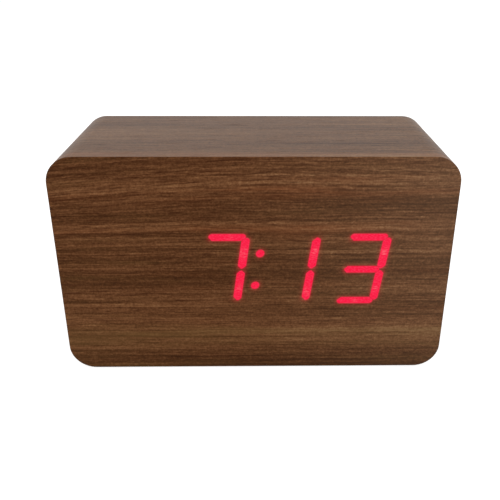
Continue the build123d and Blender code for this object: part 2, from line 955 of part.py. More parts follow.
def battery_bay():
    """The moulded box for the cells, with its flange, door seat, hinge holes and latch slot."""
    bay = upward(Pos(0, bay_shift) * Rectangle(bay_outer_length, bay_outer_width), bay_face, bay_top)
    flange_outline = RectangleRounded(flange_length, flange_width, bay_flange_corner_radius)
    bay += upward(Pos(0, bay_shift) * flange_outline, bay_face, bay_flange_top)
    inside = Pos(0, bay_shift) * Rectangle(bay_length, bay_width)
    bay -= upward(inside, bay_face - cut_overrun, bay_ceiling)
    opening = RectangleRounded(opening_length, opening_width, door_corner_radius + door_gap)
    bay -= upward(Pos(0, bay_shift) * opening, bay_face - cut_overrun, door_top)
    bay -= cross_rod(swing_radius, hinge_x, hinge_z, opening_width)
    pin_hole_length = bay_width + 2 * knuckle_side_gap + 2 * hinge_pin_length
    bay -= cross_rod(hinge_pin_radius + hinge_pin_clearance, hinge_x, hinge_z, pin_hole_length)
    slot = Rectangle(2 * (latch_nib + latch_clearance), latch_width + 2 * latch_clearance)
    slot_top = door_top + latch_height + latch_clearance
    bay -= upward(Pos(bay_length / 2, bay_shift) * slot, door_top - cut_overrun, slot_top)
    scoop = Pos(opening_length / 2, bay_shift) * Circle(door_finger_radius)
    bay -= upward(scoop, bay_face - cut_overrun, bay_face + door_finger_depth)
    seat = countersink(-bay_face, -bay_flange_top, bay_screw_radius, bay_screw_head_radius)
    return bay - at_bay_corners(seat)


def cross_rod(radius, x, z, length):
    """A rod along Y across the middle of the battery bay."""
    return through_depth(Pos(x, z) * Circle(radius), bay_shift - length / 2, bay_shift + length / 2)


def bay_screws():
    """The four screws that hold the battery bay in the case."""
    screw = countersunk_screw(-bay_face, bay_screw_length, bay_screw_radius, bay_screw_head_radius)
    return Compound(children=at_bay_corners(screw))


def battery_cell(index):
    """One cell, with its raised positive end against the plate that it feeds."""
    y, sign = cell_row(index)
    tip = bay_length / 2 - positive_contact
    body = level_rod(cell_radius, tip - cell_nub_height - cell_length, tip - cell_nub_height)
    cell = body + level_rod(cell_nub_radius, tip - cell_nub_height, tip)
    turned = cell if sign > 0 else Rot(Z=180) * cell
    return Pos(0, y, cell_middle) * turned


def positive_contacts():
    """A dished plate on the bay's end wall at each cell's positive end."""
    wall = bay_length / 2
    plate = Pos(wall - contact_plate / 2, 0, 0) * Box(contact_plate, contact_width, contact_height)
    contact = plate + level_rod(contact_dish_radius, wall - positive_contact, wall - contact_plate)
    return Compound(children=[placed_contact(contact, index, 1) for index in range(cell_count)])


def negative_contacts():
    """A folded leaf at each cell's negative end, sprung from a plate on the bay's end wall."""
    wall = bay_length / 2
    reach = wall - negative_contact
    half = contact_height / 2
    plate = Pos(wall - contact_plate / 2, 0, 0) * Box(contact_plate, contact_width, contact_height)
    leaf_outline = Polyline(
        (wall - contact_plate, half),
        (reach, contact_plate / 2),
        (reach, -contact_plate / 2),
        (wall - contact_plate, -half),
        (wall - contact_plate, -half + contact_plate),
        (reach + 2 * contact_plate, 0),
        (wall - contact_plate, half - contact_plate),
        close=True,
    )
    leaf = extrude(Plane.XZ.offset(-leaf_width / 2) * make_face(leaf_outline), amount=leaf_width)
    return Compound(children=[placed_contact(plate + leaf, index, -1) for index in range(cell_count)])


def placed_contact(contact, index, end):
    """A contact made for the bay's right end, set at one end of a cell: 1 is its positive end."""
    y, sign = cell_row(index)
    turned = contact if sign * end > 0 else Rot(Z=180) * contact
    return Pos(0, y, cell_middle) * turned


def battery_door():
    """The lid: a plate with knuckles and pins at its hinge end, a latch finger and finger grooves."""
    plate = RectangleRounded(door_length, door_width, door_corner_radius)
    door = upward(Pos(0, bay_shift) * plate, bay_face, door_top)
    inner_side = bay_width / 2 - knuckle_side_gap
    for side in (-1, 1):
        outer = bay_shift + side * inner_side
        inner = outer - side * knuckle_width
        near, far = min(outer, inner), max(outer, inner)
        door += through_depth(Pos(hinge_x, hinge_z) * Circle(knuckle_radius), near, far)
        web = Pos(hinge_x, (door_top + hinge_z) / 2) * Rectangle(2 * knuckle_radius, hinge_rise)
        door += through_depth(web, near, far)
        pin_end = outer + side * (hinge_pin_length + knuckle_side_gap - hinge_pin_clearance)
        door += through_depth(
            Pos(hinge_x, hinge_z) * Circle(hinge_pin_radius), min(outer, pin_end), max(outer, pin_end)
        )
    finger_face = bay_length / 2 - latch_clearance
    finger = Pos(finger_face - latch_thickness / 2, bay_shift) * Rectangle(latch_thickness, latch_width)
    door += upward(finger, door_top, door_top + latch_height)
    nib = Polyline(
        (finger_face, door_top + latch_height - 2 * latch_nib),
        (bay_length / 2 + latch_nib, door_top + latch_height - latch_nib),
        (finger_face, door_top + latch_height),
        close=True,
    )
    door += through_depth(make_face(nib), bay_shift - latch_width / 2, bay_shift + latch_width / 2)
    for i in range(groove_count):
        x = door_length / 2 - groove_from_end - i * groove_pitch
        groove = Pos(x, bay_shift) * Rectangle(groove_width, groove_length)
        door -= upward(groove, bay_face - cut_overrun, bay_face + groove_depth)
    return door


# Leads inside the case


def plug(front, back, z):
    """A plug of the ribbon cable, standing on a circuit board."""
    outline = Pos(ribbon_place, z) * Rectangle(plug_length, plug_height)
    return through_depth(outline, front, back)


def display_plug():
    """The plug on the display board's back."""
    return plug(display_board_back, display_board_back + plug_depth, case_middle + ribbon_plug_rise)


def control_plug():
    """The plug on the control board's inner side."""
    return plug(control_board_back - plug_depth, control_board_back, panel_middle)


def ribbon_cable():
    """The flat cable from the display board's plug down and up to the control board's."""
    start = display_board_back + plug_depth
    end = control_board_back - plug_depth
    top = case_middle + ribbon_plug_rise
    middle = (start + end) / 2
    low = panel_middle - ribbon_drop
    path = FilletPolyline(
        (ribbon_place, start, top),
        (ribbon_place, middle - ribbon_loop_gap / 2, top),
        (ribbon_place, middle - ribbon_loop_gap / 2, low),
        (ribbon_place, middle + ribbon_loop_gap / 2, low),
        (ribbon_place, middle + ribbon_loop_gap / 2, panel_middle),
        (ribbon_place, end, panel_middle),
        radius=ribbon_bend_radius,
    )
    start_plane = Plane(origin=path @ 0, x_dir=(1, 0, 0), z_dir=path % 0)
    return sweep(start_plane * Rectangle(ribbon_width, ribbon_thickness), path)


def battery_lead(index):
    """One of the two wires from the battery bay's roof up to the control board."""
    x = lead_place + index * lead_pitch
    height = panel_middle - lead_board_drop
    path = FilletPolyline(
        (x, lead_foot_place, bay_top),
        (x, lead_foot_place, height),
        (x, control_board_back, height),
        radius=lead_bend_radius,
    )
    section = RegularPolygon(lead_radius, lead_side_count)
    return sweep(Plane(origin=path @ 0, z_dir=path % 0) * section, path)


def assembly():
    """Every sub-part by its node's name."""
    pieces = {
        "front_veneer": front_veneer(),
        "wrap_veneer": wrap_veneer(),
        "back_veneer": back_veneer(),
        "case_core": case_core(),
        "back_board": back_board(),
        "feet": feet(),
        "display_diffuser": diffuser(),
        "display_light_wells": light_wells(),
        "display_board": display_board(),
        "display_lamps": lamps(),
        "display_driver": display_driver(),
        "display_resistors": display_resistors(),
        "display_screws": module_screws(),
        "control_panel": control_panel(),
        "control_panel_screws": panel_screws(),
        "control_board": control_board(),
        "control_board_screws": control_board_screws(),
        "buzzer": buzzer(),
        "microphone": microphone(),
        "processor_chip": processor_chip(),
        "quartz_crystal": quartz_crystal(),
        "backup_cell": backup_cell(),
        "backup_cell_clip": backup_cell_clip(),
        "inlet_socket": inlet_socket(),
        "inlet_pin": inlet_pin(),
        "battery_bay": battery_bay(),
        "battery_bay_screws": bay_screws(),
        "battery_positive_contacts": positive_contacts(),
        "battery_negative_contacts": negative_contacts(),
        "battery_door": battery_door(),
        "display_plug": display_plug(),
        "control_plug": control_plug(),
        "ribbon_cable": ribbon_cable(),
        "battery_lead_red": battery_lead(0),
        "battery_lead_black": battery_lead(1),
    }
    pieces.update(lit_patches())
    for index in range(cell_count):
        pieces[f"battery_cell_{index + 1}"] = battery_cell(index)
    for name in button_names:
        pieces[f"{name}_button"] = button(name)
        pieces[f"{name}_switch"] = switch_body(name)
        pieces[f"{name}_plunger"] = switch_plunger(name)
    return pieces


os.makedirs("parts", exist_ok=True)
for node, shape in assembly().items():
    export_step(shape, f"parts/{node}.step")
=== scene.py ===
"""Looks of a desk clock in a block of wood veneer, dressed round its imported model.

X runs to the right as the clock is read, Y from its front to its back and Z up. The origin is under the
middle of the clock, on the surface that it stands on. Meshes are in metres and patterns in millimetres.
"""

import logging
import math
from dataclasses import dataclass
from enum import Enum
from functools import cache, cached_property, reduce

import bpy
import numpy as np
from mathutils import Matrix


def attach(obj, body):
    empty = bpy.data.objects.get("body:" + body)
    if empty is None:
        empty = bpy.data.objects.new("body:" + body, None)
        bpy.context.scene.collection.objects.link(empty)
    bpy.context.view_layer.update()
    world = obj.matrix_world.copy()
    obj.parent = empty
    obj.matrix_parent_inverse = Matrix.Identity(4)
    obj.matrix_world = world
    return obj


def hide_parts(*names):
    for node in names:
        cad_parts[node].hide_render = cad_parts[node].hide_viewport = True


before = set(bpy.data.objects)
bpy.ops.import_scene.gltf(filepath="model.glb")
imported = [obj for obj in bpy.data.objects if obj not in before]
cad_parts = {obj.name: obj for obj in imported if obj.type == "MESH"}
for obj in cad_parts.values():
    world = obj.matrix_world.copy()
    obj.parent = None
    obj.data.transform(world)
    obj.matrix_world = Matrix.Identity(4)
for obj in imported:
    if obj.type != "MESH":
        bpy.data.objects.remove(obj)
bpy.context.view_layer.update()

Colour = tuple[float, float, float, float]
Point = tuple[float, float, float]

MM = 0.001
# Sideways lean of the digits, for each millimetre upwards.
DIGIT_SLANT = 0.1414
# Edges between faces that meet at a larger angle than this stay sharp, in degrees.
SHARP_ANGLE = 35.0
# Turns about its axis at which a turned skin has its points.
TURNS = np.linspace(0.0, 2 * np.pi, 72, endpoint=False)
WHITE: Colour = (1.0, 1.0, 1.0, 1.0)
LOG = logging.getLogger("desk_clock")


def rgb(red: float, green: float, blue: float) -> Colour:
    """Turns a screen colour into the linear colour that a shader takes.

    Args:
        red, green, blue: the colour as it shows on a screen, from 0 to 255.

    Returns:
        The linear red, green, blue and an alpha of 1.
    """
    shares = [level / 255 for level in (red, green, blue)]
    linear = [s / 12.92 if s <= 0.04045 else ((s + 0.055) / 1.055) ** 2.4 for s in shares]
    return (*linear, 1.0)


# Shader expressions


class Value:
    """A number that varies over a surface. Arithmetic on it adds Math nodes."""

    def __init__(self, recipe: "Recipe", socket: bpy.types.NodeSocket) -> None:
        """Wraps a socket of the recipe's node tree."""
        self.recipe = recipe
        self.socket = socket

    def math(self, operation: str, *terms: object) -> "Value":
        """Adds a Math node.

        Args:
            operation: the node's operation.
            terms: its inputs in order, numbers or values. With none, this value is its only input.

        Returns:
            The node's result.
        """
        inputs = dict(enumerate(terms or (self,)))
        return self.recipe.add("ShaderNodeMath", {"operation": operation}, inputs)

    def part(self, output: str) -> "Value":
        """Another output of the same node."""
        return Value(self.recipe, self.socket.node.outputs[output])

    def __add__(self, other: object) -> "Value":
        """This plus other."""
        return self.math("ADD", self, other)

    def __radd__(self, other: object) -> "Value":
        """Other plus this."""
        return self.math("ADD", other, self)

    def __sub__(self, other: object) -> "Value":
        """This less other."""
        return self.math("SUBTRACT", self, other)

    def __rsub__(self, other: object) -> "Value":
        """Other less this."""
        return self.math("SUBTRACT", other, self)

    def __mul__(self, other: object) -> "Value":
        """This times other."""
        return self.math("MULTIPLY", self, other)

    def __rmul__(self, other: object) -> "Value":
        """Other times this."""
        return self.math("MULTIPLY", other, self)

    def __truediv__(self, other: object) -> "Value":
        """This over other."""
        return self.math("DIVIDE", self, other)

    def __pow__(self, other: object) -> "Value":
        """This to the power of other."""
        return self.math("POWER", self, other)

    def __neg__(self) -> "Value":
        """This with its sign turned."""
        return self.math("MULTIPLY", self, -1.0)

    def __abs__(self) -> "Value":
        """This without its sign."""
        return self.math("ABSOLUTE")

    def at_least(self, floor: object) -> "Value":
        """The larger of this and floor."""
        return self.math("MAXIMUM", self, floor)

    def at_most(self, ceiling: object) -> "Value":
        """The smaller of this and ceiling."""
        return self.math("MINIMUM", self, ceiling)

    def above(self, level: object) -> "Value":
        """1 where this is above level, and 0 elsewhere."""
        return self.math("GREATER_THAN", self, level)

    def below(self, level: object) -> "Value":
        """1 where this is below level, and 0 elsewhere."""
        return self.math("LESS_THAN", self, level)

    def step(self, start: float, end: float) -> "Value":
        """Rises smoothly from 0 at start to 1 at end, or falls where end is the lower.

        Args:
            start: where the rise begins.
            end: where it ends.

        Returns:
            A value from 0 to 1.
        """
        low, high = min(start, end), max(start, end)
        inputs = {"Value": self, "From Min": low, "From Max": high}
        rise = self.recipe.add("ShaderNodeMapRange", {"interpolation_type": "SMOOTHSTEP"}, inputs)
        return rise if start < end else 1 - rise

    def bump(self, middle: float, width: float) -> "Value":
        """A bell of height 1 round middle: e to the minus square of the distance over the width."""
        reach = (self - middle) / width
        return (-(reach * reach)).math("EXPONENT")


def span(side: Value, level: Value) -> Value:
    """How far a point lies from a middle, by its distances to the side and up: the root of their squares."""
    return (side * side + level * level) ** 0.5


class Recipe:
    """The node tree of a material or of the surroundings, and the ways to add to it."""

    def __init__(self, owner: bpy.types.Material | bpy.types.World) -> None:
        """Empties the node tree of a material or of the surroundings and takes it over.

        Args:
            owner: whose tree it is.
        """
        self.owner = owner
        owner.use_nodes = True
        self.tree = owner.node_tree
        self.tree.nodes.clear()

    @classmethod
    def of(cls, name: str) -> "Recipe":
        """Starts a new material of that name."""
        return cls(bpy.data.materials.new(name))

    def node(self, kind: str, settings: dict | None = None, inputs: dict | None = None) -> bpy.types.Node:
        """Adds any node.

        Args:
            kind: the node's type.
            settings: its settings, made first; stops are a ramp's places and colours.
            inputs: numbers, colours, values or links for its sockets, by name or place.

        Returns:
            The node.
        """
        node = self.tree.nodes.new(kind)
        for name, setting in (settings or {}).items():
            if name == "stops":
                self.set_stops(node.color_ramp, setting)
            else:
                setattr(node, name, setting)
        for key, value in (inputs or {}).items():
            self.feed(node.inputs[key], value)
        return node

    def add(
        self, kind: str, settings: dict | None = None, inputs: dict | None = None, output: int | str = 0
    ) -> Value:
        """Adds a node as above and gives back the output of that name or place as a value."""
        return Value(self, self.node(kind, settings, inputs).outputs[output])

    def set_stops(self, ramp: bpy.types.ColorRamp, stops: tuple[tuple[float, Colour], ...]) -> None:
        """Gives a colour ramp its stops.

        Args:
            ramp: the ramp.
            stops: pairs of a place from 0 to 1 and a colour.
        """
        while len(ramp.elements) < len(stops):
            ramp.elements.new(1.0)
        for element, (place, colour) in zip(ramp.elements, stops):
            element.position = place
            element.color = colour

    def feed(self, socket: bpy.types.NodeSocket, value: object) -> None:
        """Links a value to a socket, or sets a plain number or colour on it.

        Args:
            socket: the socket.
            value: what it gets.
        """
        if isinstance(value, Value):
            self.tree.links.new(value.socket, socket)
        else:
            socket.default_value = value

    @cached_property
    def place(self) -> tuple[Value, Value, Value]:
        """The point's place on the clock, in millimetres.

        Returns:
            Its x, y and z.
        """
        point = self.add("ShaderNodeTexCoord", output="Object")
        parts = self.add("ShaderNodeSeparateXYZ", inputs={0: point})
        return parts / MM, parts.part("Y") / MM, parts.part("Z") / MM

    def vector(self, x: object, y: object, z: object = 0.0) -> Value:
        """A vector of three numbers."""
        return self.add("ShaderNodeCombineXYZ", inputs={0: x, 1: y, 2: z})

    def noise(self, x: object, y: object, z: object = 0.0, detail: float = 2.0, rough: float = 0.5) -> Value:
        """Smooth noise about 0, mostly within half a unit either way.

        Args:
            x, y, z: where it is read, in units of its grain.
            detail: how many finer layers it has.
            rough: how strong each finer layer is.

        Returns:
            The noise.
        """
        inputs = {"Vector": self.vector(x, y, z), "Scale": 1.0, "Detail": detail, "Roughness": rough}
        return self.add("ShaderNodeTexNoise", inputs=inputs) - 0.5

    def speckle(self, size: float, detail: float = 2.0, rough: float = 0.5) -> Value:
        """Smooth noise on the clock whose grain has the same size every way, in millimetres."""
        x, y, z = self.place
        return self.noise(x / size, y / size, z / size, detail, rough)

    def cells(self, x: object, y: object, z: object = 0.0) -> Value:
        """Distance from the nearest of many scattered points, about one unit apart."""
        return self.add("ShaderNodeTexVoronoi", inputs={"Vector": self.vector(x, y, z), "Scale": 1.0})

    def mix(self, share: object, first: object, second: object, blend: str = "MIX") -> Value:
        """Mixes two colours.

        Args:
            share: how much of the second, from 0 to 1.
            first, second: the colours.
            blend: the way of mixing.

        Returns:
            The mixed colour.
        """
        settings = {"data_type": "RGBA", "blend_type": blend}
        return self.add("ShaderNodeMix", settings, {0: share, 6: first, 7: second}, 2)

    def scaled(self, colour: Value | tuple[float, ...], factor: object) -> Value:
        """A colour made darker or lighter by a factor."""
        plain = colour if isinstance(colour, Value) else colour[:3]
        return self.add("ShaderNodeVectorMath", {"operation": "SCALE"}, {0: plain, "Scale": factor})

    def seen(self) -> Value:
        """1 for the eye, straight, in a glossy surface or through a clear one, and 0 for other light."""
        eye = self.add("ShaderNodeLightPath", output="Is Camera Ray")
        return (eye + eye.part("Is Glossy Ray") + eye.part("Is Transmission Ray")).at_most(1.0)

    def finish(self, relief: Value, **sockets: object) -> bpy.types.Material:
        """Ends the material in a Principled shader.

        Args:
            relief: the surface's height in millimetres.
            sockets: the shader's sockets by name, with underscores for spaces.

        Returns:
            The material.
        """
        inputs = {name.replace("_", " "): value for name, value in sockets.items()}
        heights = {"Strength": 1.0, "Distance": MM, "Height": relief}
        inputs["Normal"] = self.add("ShaderNodeBump", inputs=heights)
        return self.show(self.add("ShaderNodeBsdfPrincipled", inputs=inputs))

    def show(self, shader: Value) -> bpy.types.Material | bpy.types.World:
        """Links a shader to the owner's output.

        Args:
            shader: the shader.

        Returns:
            The owner.
        """
        surroundings = isinstance(self.owner, bpy.types.World)
        kind = "ShaderNodeOutputWorld" if surroundings else "ShaderNodeOutputMaterial"
        self.node(kind, inputs={"Surface": shader})
        return self.owner


# Finishes


@dataclass(frozen=True)
class Finish:
    """A finish, known by the name of its material."""

    name: str

    def material(self) -> bpy.types.Material:
        """Builds the material. Each kind of finish has its own."""
        raise NotImplementedError


@cache
def material_of(finish: Finish) -> bpy.types.Material:
    """The material of a finish, built when it is first asked for."""
    return finish.material()


class Side(Enum):
    """Which sheet of veneer a film covers, and so how its grain runs."""

    FRONT = "front"
    WRAP = "wrap"
    BACK = "back"


@dataclass(frozen=True)
class Band:
    """A level stretch of the wood's figure.

    Its tone is lighter above 0 and darker below, and its warmth is redder above 0 and more olive below.
    """

    middle: float
    width: float
    tone: float
    warmth: float = 0.0


@dataclass(frozen=True)
class Streaks:
    """Streaks of lighter and darker wood of one size, in millimetres along and across the grain."""

    length: float
    width: float
    strength: float = 1.0
    layers: float = 1.0
    rough: float = 0.6

    def noise(self, recipe: Recipe, along: Value, across: Value, seed: float) -> Value:
        """The streaks' noise at a point of the film, about 0."""
        point = along / self.length, across / self.width, seed
        return recipe.noise(*point, self.layers, self.rough) * self.strength


@dataclass(frozen=True)
class Fade:
    """A smooth change from nothing at start to its full amount at end, which may be the lower."""

    start: float
    end: float
    amount: float = 1.0

    def at(self, value: Value) -> Value:
        """How much of the change there is at a value."""
        return value.step(self.start, self.end) * self.amount


@dataclass(frozen=True)
class LitStretch:
    """A lit stroke or dot, in millimetres.

    It is given by its middle, how far its centre line reaches either way and how far light reaches
    from that line at full strength.
    """

    x: float
    z: float
    half_x: float = 0.0
    half_z: float = 0.0
    half_width: float = 1.6


def past_stretches(recipe: Recipe, lit: tuple[LitStretch, ...]) -> Value:
    """How far a point lies past the edge of the nearest lit stretch, and below 0 within it.

    The distance is taken from the stretch's centre line, in directions that lean as the digits do.

    Args:
        recipe: the material's recipe.
        lit: the lit stretches.

    Returns:
        The distance, in millimetres.
    """
    x, _, z = recipe.place
    leaning = x - z * DIGIT_SLANT
    distances = []
    for stretch in lit:
        side = (abs(leaning - (stretch.x - stretch.z * DIGIT_SLANT)) - stretch.half_x).at_least(0.0)
        level = (abs(z - stretch.z) - stretch.half_z).at_least(0.0)
        distances.append(span(side, level) - stretch.half_width)
    return reduce(Value.at_most, distances)


FILM_BROWN = rgb(92, 57, 33)
FILM_BROWNS = (
    (0.0, rgb(52, 27, 11)),
    (0.3, rgb(72, 42, 21)),
    (0.55, FILM_BROWN),
    (0.8, rgb(112, 74, 46)),
    (1.0, rgb(130, 92, 60)),
)
FILM_RED = rgb(118, 62, 32)
FILM_OLIVE = rgb(92, 68, 36)
PORE_BROWN = rgb(48, 18, 4)
# Painted sheen on the front, a veil of painted reflection: its pale colour, and the lighter, bluer tint that
# comes with it.
FILM_PAINTED_SHEEN = rgb(140, 112, 88)
FRONT_PAINTED_SHEEN_TINT: Colour = (1.12, 1.24, 1.4, 1.0)
WRAP_TINT: Colour = (1.02, 1.12, 0.94, 1.0)
# Painted light: how much lighter the wrap is painted at its right.
WRAP_RIGHT_PAINTED_LIGHT: Colour = (1.2, 1.24, 1.22, 1.0)


@dataclass(frozen=True)
class WalnutFilm(Finish):
    """Printed walnut veneer film: level figure, drifting streaks, fine fibres and short dark pores.

    Drift and ripple move the figure across the grain, and sag is how far the front's grain sinks
    towards the left. Each is in millimetres. Fades to the right or left go by how far right the point
    is, from -1 to 1, those upwards or downwards by its height or its place across the grain, the one
    along by its place along the grain, and the pores' edges by their noise.
    """

    side: Side
    seed: float
    bands: tuple[Band, ...] = ()
    contrast: float = 1.0
    pore_depth: float = 0.5
    gloss: float = 0.5
    roughness: float = 0.42
    # Painted shade: a factor that darkens the whole film's colour; below 1 on the wrap, whose top is painted
    # darker.
    painted_shade: float = 1.0
    lit: tuple[LitStretch, ...] = ()
    streaks: tuple[Streaks, ...] = (
        Streaks(160.0, 4.2, 0.48),
        Streaks(140.0, 1.7, 0.56),
        Streaks(120.0, 0.85, 0.58),
        Streaks(32.0, 1.4, 0.4),
        Streaks(12.0, 0.8, 0.58),
        Streaks(4.0, 0.6, 0.45),
        Streaks(1.5, 1.3, 0.6, 2.0),
        Streaks(0.8, 0.7, 0.62),
    )
    drift: Streaks = Streaks(60.0, 13.0, 3.0, 2.0, 0.5)
    ripple: Streaks = Streaks(17.0, 4.5, 0.8, 2.0, 0.5)
    warm_streaks: Streaks = Streaks(55.0, 3.4, 0.75, 2.0, 0.5)
    pore_crowds: Streaks = Streaks(38.0, 4.2, 0.6, 2.0, 0.5)
    long_pores: Streaks = Streaks(13.0, 0.8, layers=1.5, rough=0.45)
    short_pores: Streaks = Streaks(5.0, 0.55, rough=0.4)
    sag: float = 4.5
    sag_start_x: float = 12.0
    sag_length: float = 87.0
    sag_upwards: Fade = Fade(46.0, 88.0)
    plain_sway: float = 0.6
    lowest_sway: float = 0.3
    sway_upwards: Fade = Fade(20.0, 80.0, 0.7)
    contrast_to_right: Fade = Fade(-0.2, 1.0, 0.2)
    # On the front's left: the fade, a more olive warmth, and the painted shade that makes its upper part
    # darker.
    to_left: Fade = Fade(0.1, -0.9)
    left_warmth: float = -0.1
    left_painted_shade_upwards: Fade = Fade(30.0, 62.0, -0.045)
    warmth_gain: float = 1.2
    crowd_upwards: Fade = Fade(44.0, 90.0, 0.2)
    crowd_downwards: Fade = Fade(32.0, 12.0, -0.14)
    crowd_along: Fade = Fade(-10.0, 80.0, -0.08)
    crowding: float = 0.4
    long_pore_edge: Fade = Fade(0.07, 0.26)
    short_pore_edge: Fade = Fade(0.1, 0.28, 0.7)
    # Painted sheen on the front, a veil of painted reflection: its share at the bottom, how it grows upwards
    # and to the right, and how pale it makes the film.
    lowest_painted_sheen: float = 0.75
    painted_sheen_upwards: Fade = Fade(0.0, 90.0, 0.45)
    painted_sheen_to_right: Fade = Fade(-0.4, 1.5)
    painted_sheen_paleness: float = 0.12
    # Painted light: how far right the wrap is painted lighter.
    wrap_painted_light_to_right: Fade = Fade(0.4, 1.2)
    pore_sink: float = 0.02
    grain_rise: float = 0.006
    glow_colour: Colour = (1.0, 0.0, 0.06, 1.0)
    glow_reach: float = 0.5
    glow_strength: float = 0.2
    case_width: float = 150.0
    case_height: float = 90.0
    case_middle: float = 46.0
    corner_radius: float = 10.0

    def wrapped(self, x: Value, z: Value) -> Value:
        """How far round the block a point lies from the middle of its top, in millimetres.

        The flat sides count along x or z, and a corner counts its radius times the turn. Below the
        middle height the distance is taken from the bottom's side of the round, and left is negative.

        Args:
            x, z: the point's place.

        Returns:
            The distance along the film.
        """
        flat_x = self.case_width / 2 - self.corner_radius
        flat_z = self.case_height / 2 - self.corner_radius
        side = abs(x)
        height = abs(z - self.case_middle)
        # The second part stays above 0, so that the turn is 0 along the flat sides.
        turn = side.math("ARCTAN2", (side - flat_x).at_least(0.0), (height - flat_z).at_least(0.001))
        quarter = side.at_most(flat_x) + turn * self.corner_radius + (flat_z - height.at_most(flat_z))
        half_length = flat_x + flat_z + math.pi / 2 * self.corner_radius
        distance = quarter + z.below(self.case_middle) * (2 * half_length - 2 * quarter)
        return distance * x.math("SIGN")

    def grain(self, recipe: Recipe) -> tuple[Value, Value, Value]:
        """The film's own directions at a point.

        Args:
            recipe: the material's recipe.

        Returns:
            Place along the grain, place across it, and how far the point is to the right, from -1 to 1.
        """
        x, y, z = recipe.place
        if self.side is Side.FRONT:
            left = ((self.sag_start_x - x) / self.sag_length).at_least(0.0)
            return x, z + self.sag_upwards.at(z) * left * left * self.sag, x / (self.case_width / 2)
        if self.side is Side.BACK:
            return -x, z, -x / (self.case_width / 2)
        return self.wrapped(x, z), y, x / (self.case_width / 2)

    def figure(self, recipe: Recipe, along: Value, level: Value, right: Value) -> tuple[Value, Value]:
        """The wood's figure: streaks of every size and the film's bands.

        Args:
            recipe: the material's recipe.
            along, level: place along the grain and across its swaying figure, in millimetres.
            right: how far right the point is, from -1 to 1.

        Returns:
            The tone, mostly from 0 to 1, and the warmth, about 0.
        """
        tone = sum(
            streaks.noise(recipe, along, level, self.seed + 2.0 * number)
            for number, streaks in enumerate(self.streaks)
        )
        warmth = self.warm_streaks.noise(recipe, along, level, self.seed + 19.0)
        if self.side is Side.FRONT:
            # The front's left is painted darker in its upper part, as painted shade, and turned a little
            # more olive.
            left = self.to_left.at(right)
            warmth = warmth + left * self.left_warmth
            tone = tone + left * self.left_painted_shade_upwards.at(level)
        for band in self.bands:
            bell = level.bump(band.middle, band.width)
            tone = tone + bell * band.tone
            if band.warmth:
                warmth = warmth + bell * band.warmth
        return 0.5 + tone * (self.contrast + self.contrast_to_right.at(right)), warmth

    def pores(self, recipe: Recipe, along: Value, level: Value) -> Value:
        """Short dark pores that lie with the grain, close together in some streaks and few in others.

        Args:
            recipe: the material's recipe.
            along, level: the film's own directions, in millimetres.

        Returns:
            1 inside a pore and 0 outside.
        """
        crowd = self.pore_crowds.noise(recipe, along, level, self.seed + 23.0)
        if self.side is Side.FRONT:
            crowd = crowd + self.crowd_upwards.at(level) + self.crowd_downwards.at(level)
            crowd = crowd + self.crowd_along.at(along)
        long = self.long_pores.noise(recipe, along, level, self.seed + 29.0) + crowd * self.crowding
        short = self.short_pores.noise(recipe, along, level, self.seed + 31.0) + crowd * self.crowding
        return (self.long_pore_edge.at(long) + self.short_pore_edge.at(short)).at_most(1.0)

    def tinted_with_painted_light(self, recipe: Recipe, colour: Value, across: Value, right: Value) -> Value:
        """The film's colour with a painted sheen on the front, a pale veil of painted reflection which grows
        to the right and upwards, and on the wrap its tint, painted lighter towards the right as painted
        light.

        Args:
            recipe: the material's recipe.
            colour: the bare film's colour.
            across: place across the grain, in millimetres.
            right: how far right the point is, from -1 to 1.

        Returns:
            The colour.
        """
        if self.side is Side.FRONT:
            # Painted sheen: a pale veil of painted reflection with a lighter, bluer tint, growing to the
            # right and upwards.
            mottle_and_painted_sheen = self.painted_sheen_to_right.at(right) * (self.lowest_painted_sheen + self.painted_sheen_upwards.at(across))
            colour = recipe.mix(mottle_and_painted_sheen * self.painted_sheen_paleness, colour, FILM_PAINTED_SHEEN)
            return recipe.mix(mottle_and_painted_sheen, colour, FRONT_PAINTED_SHEEN_TINT, "MULTIPLY")
        if self.side is Side.WRAP:
            colour = recipe.mix(1.0, colour, WRAP_TINT, "MULTIPLY")
            # Painted light: the wrap is painted lighter towards the right.
            return recipe.mix(self.wrap_painted_light_to_right.at(right), colour, WRAP_RIGHT_PAINTED_LIGHT, "MULTIPLY")
        return colour

    def glow(self, recipe: Recipe) -> Value:
        """Red light that leaks through the film beside the lit strokes.

        It falls as e to the minus of the distance past the nearest stroke's edge over the reach.

        Args:
            recipe: the material's recipe.

        Returns:
            The light's colour.
        """
        fall = (-past_stretches(recipe, self.lit) / self.glow_reach).math("EXPONENT")
        return recipe.scaled(self.glow_colour, fall.at_most(1.0) * self.glow_strength)

    def material(self) -> bpy.types.Material:
        """Builds the film.

        Returns:
            The material.
        """
        recipe = Recipe.of(self.name)
        along, across, right = self.grain(recipe)
        swing = self.drift.noise(recipe, along, across, self.seed)
        swing = swing + self.ripple.noise(recipe, along, across, self.seed + 3.0)
        front = self.side is Side.FRONT
        sway = self.sway_upwards.at(across) + self.lowest_sway if front else self.plain_sway
        level = across + swing * sway
        tone, warmth = self.figure(recipe, along, level, right)
        pores = self.pores(recipe, along, level)

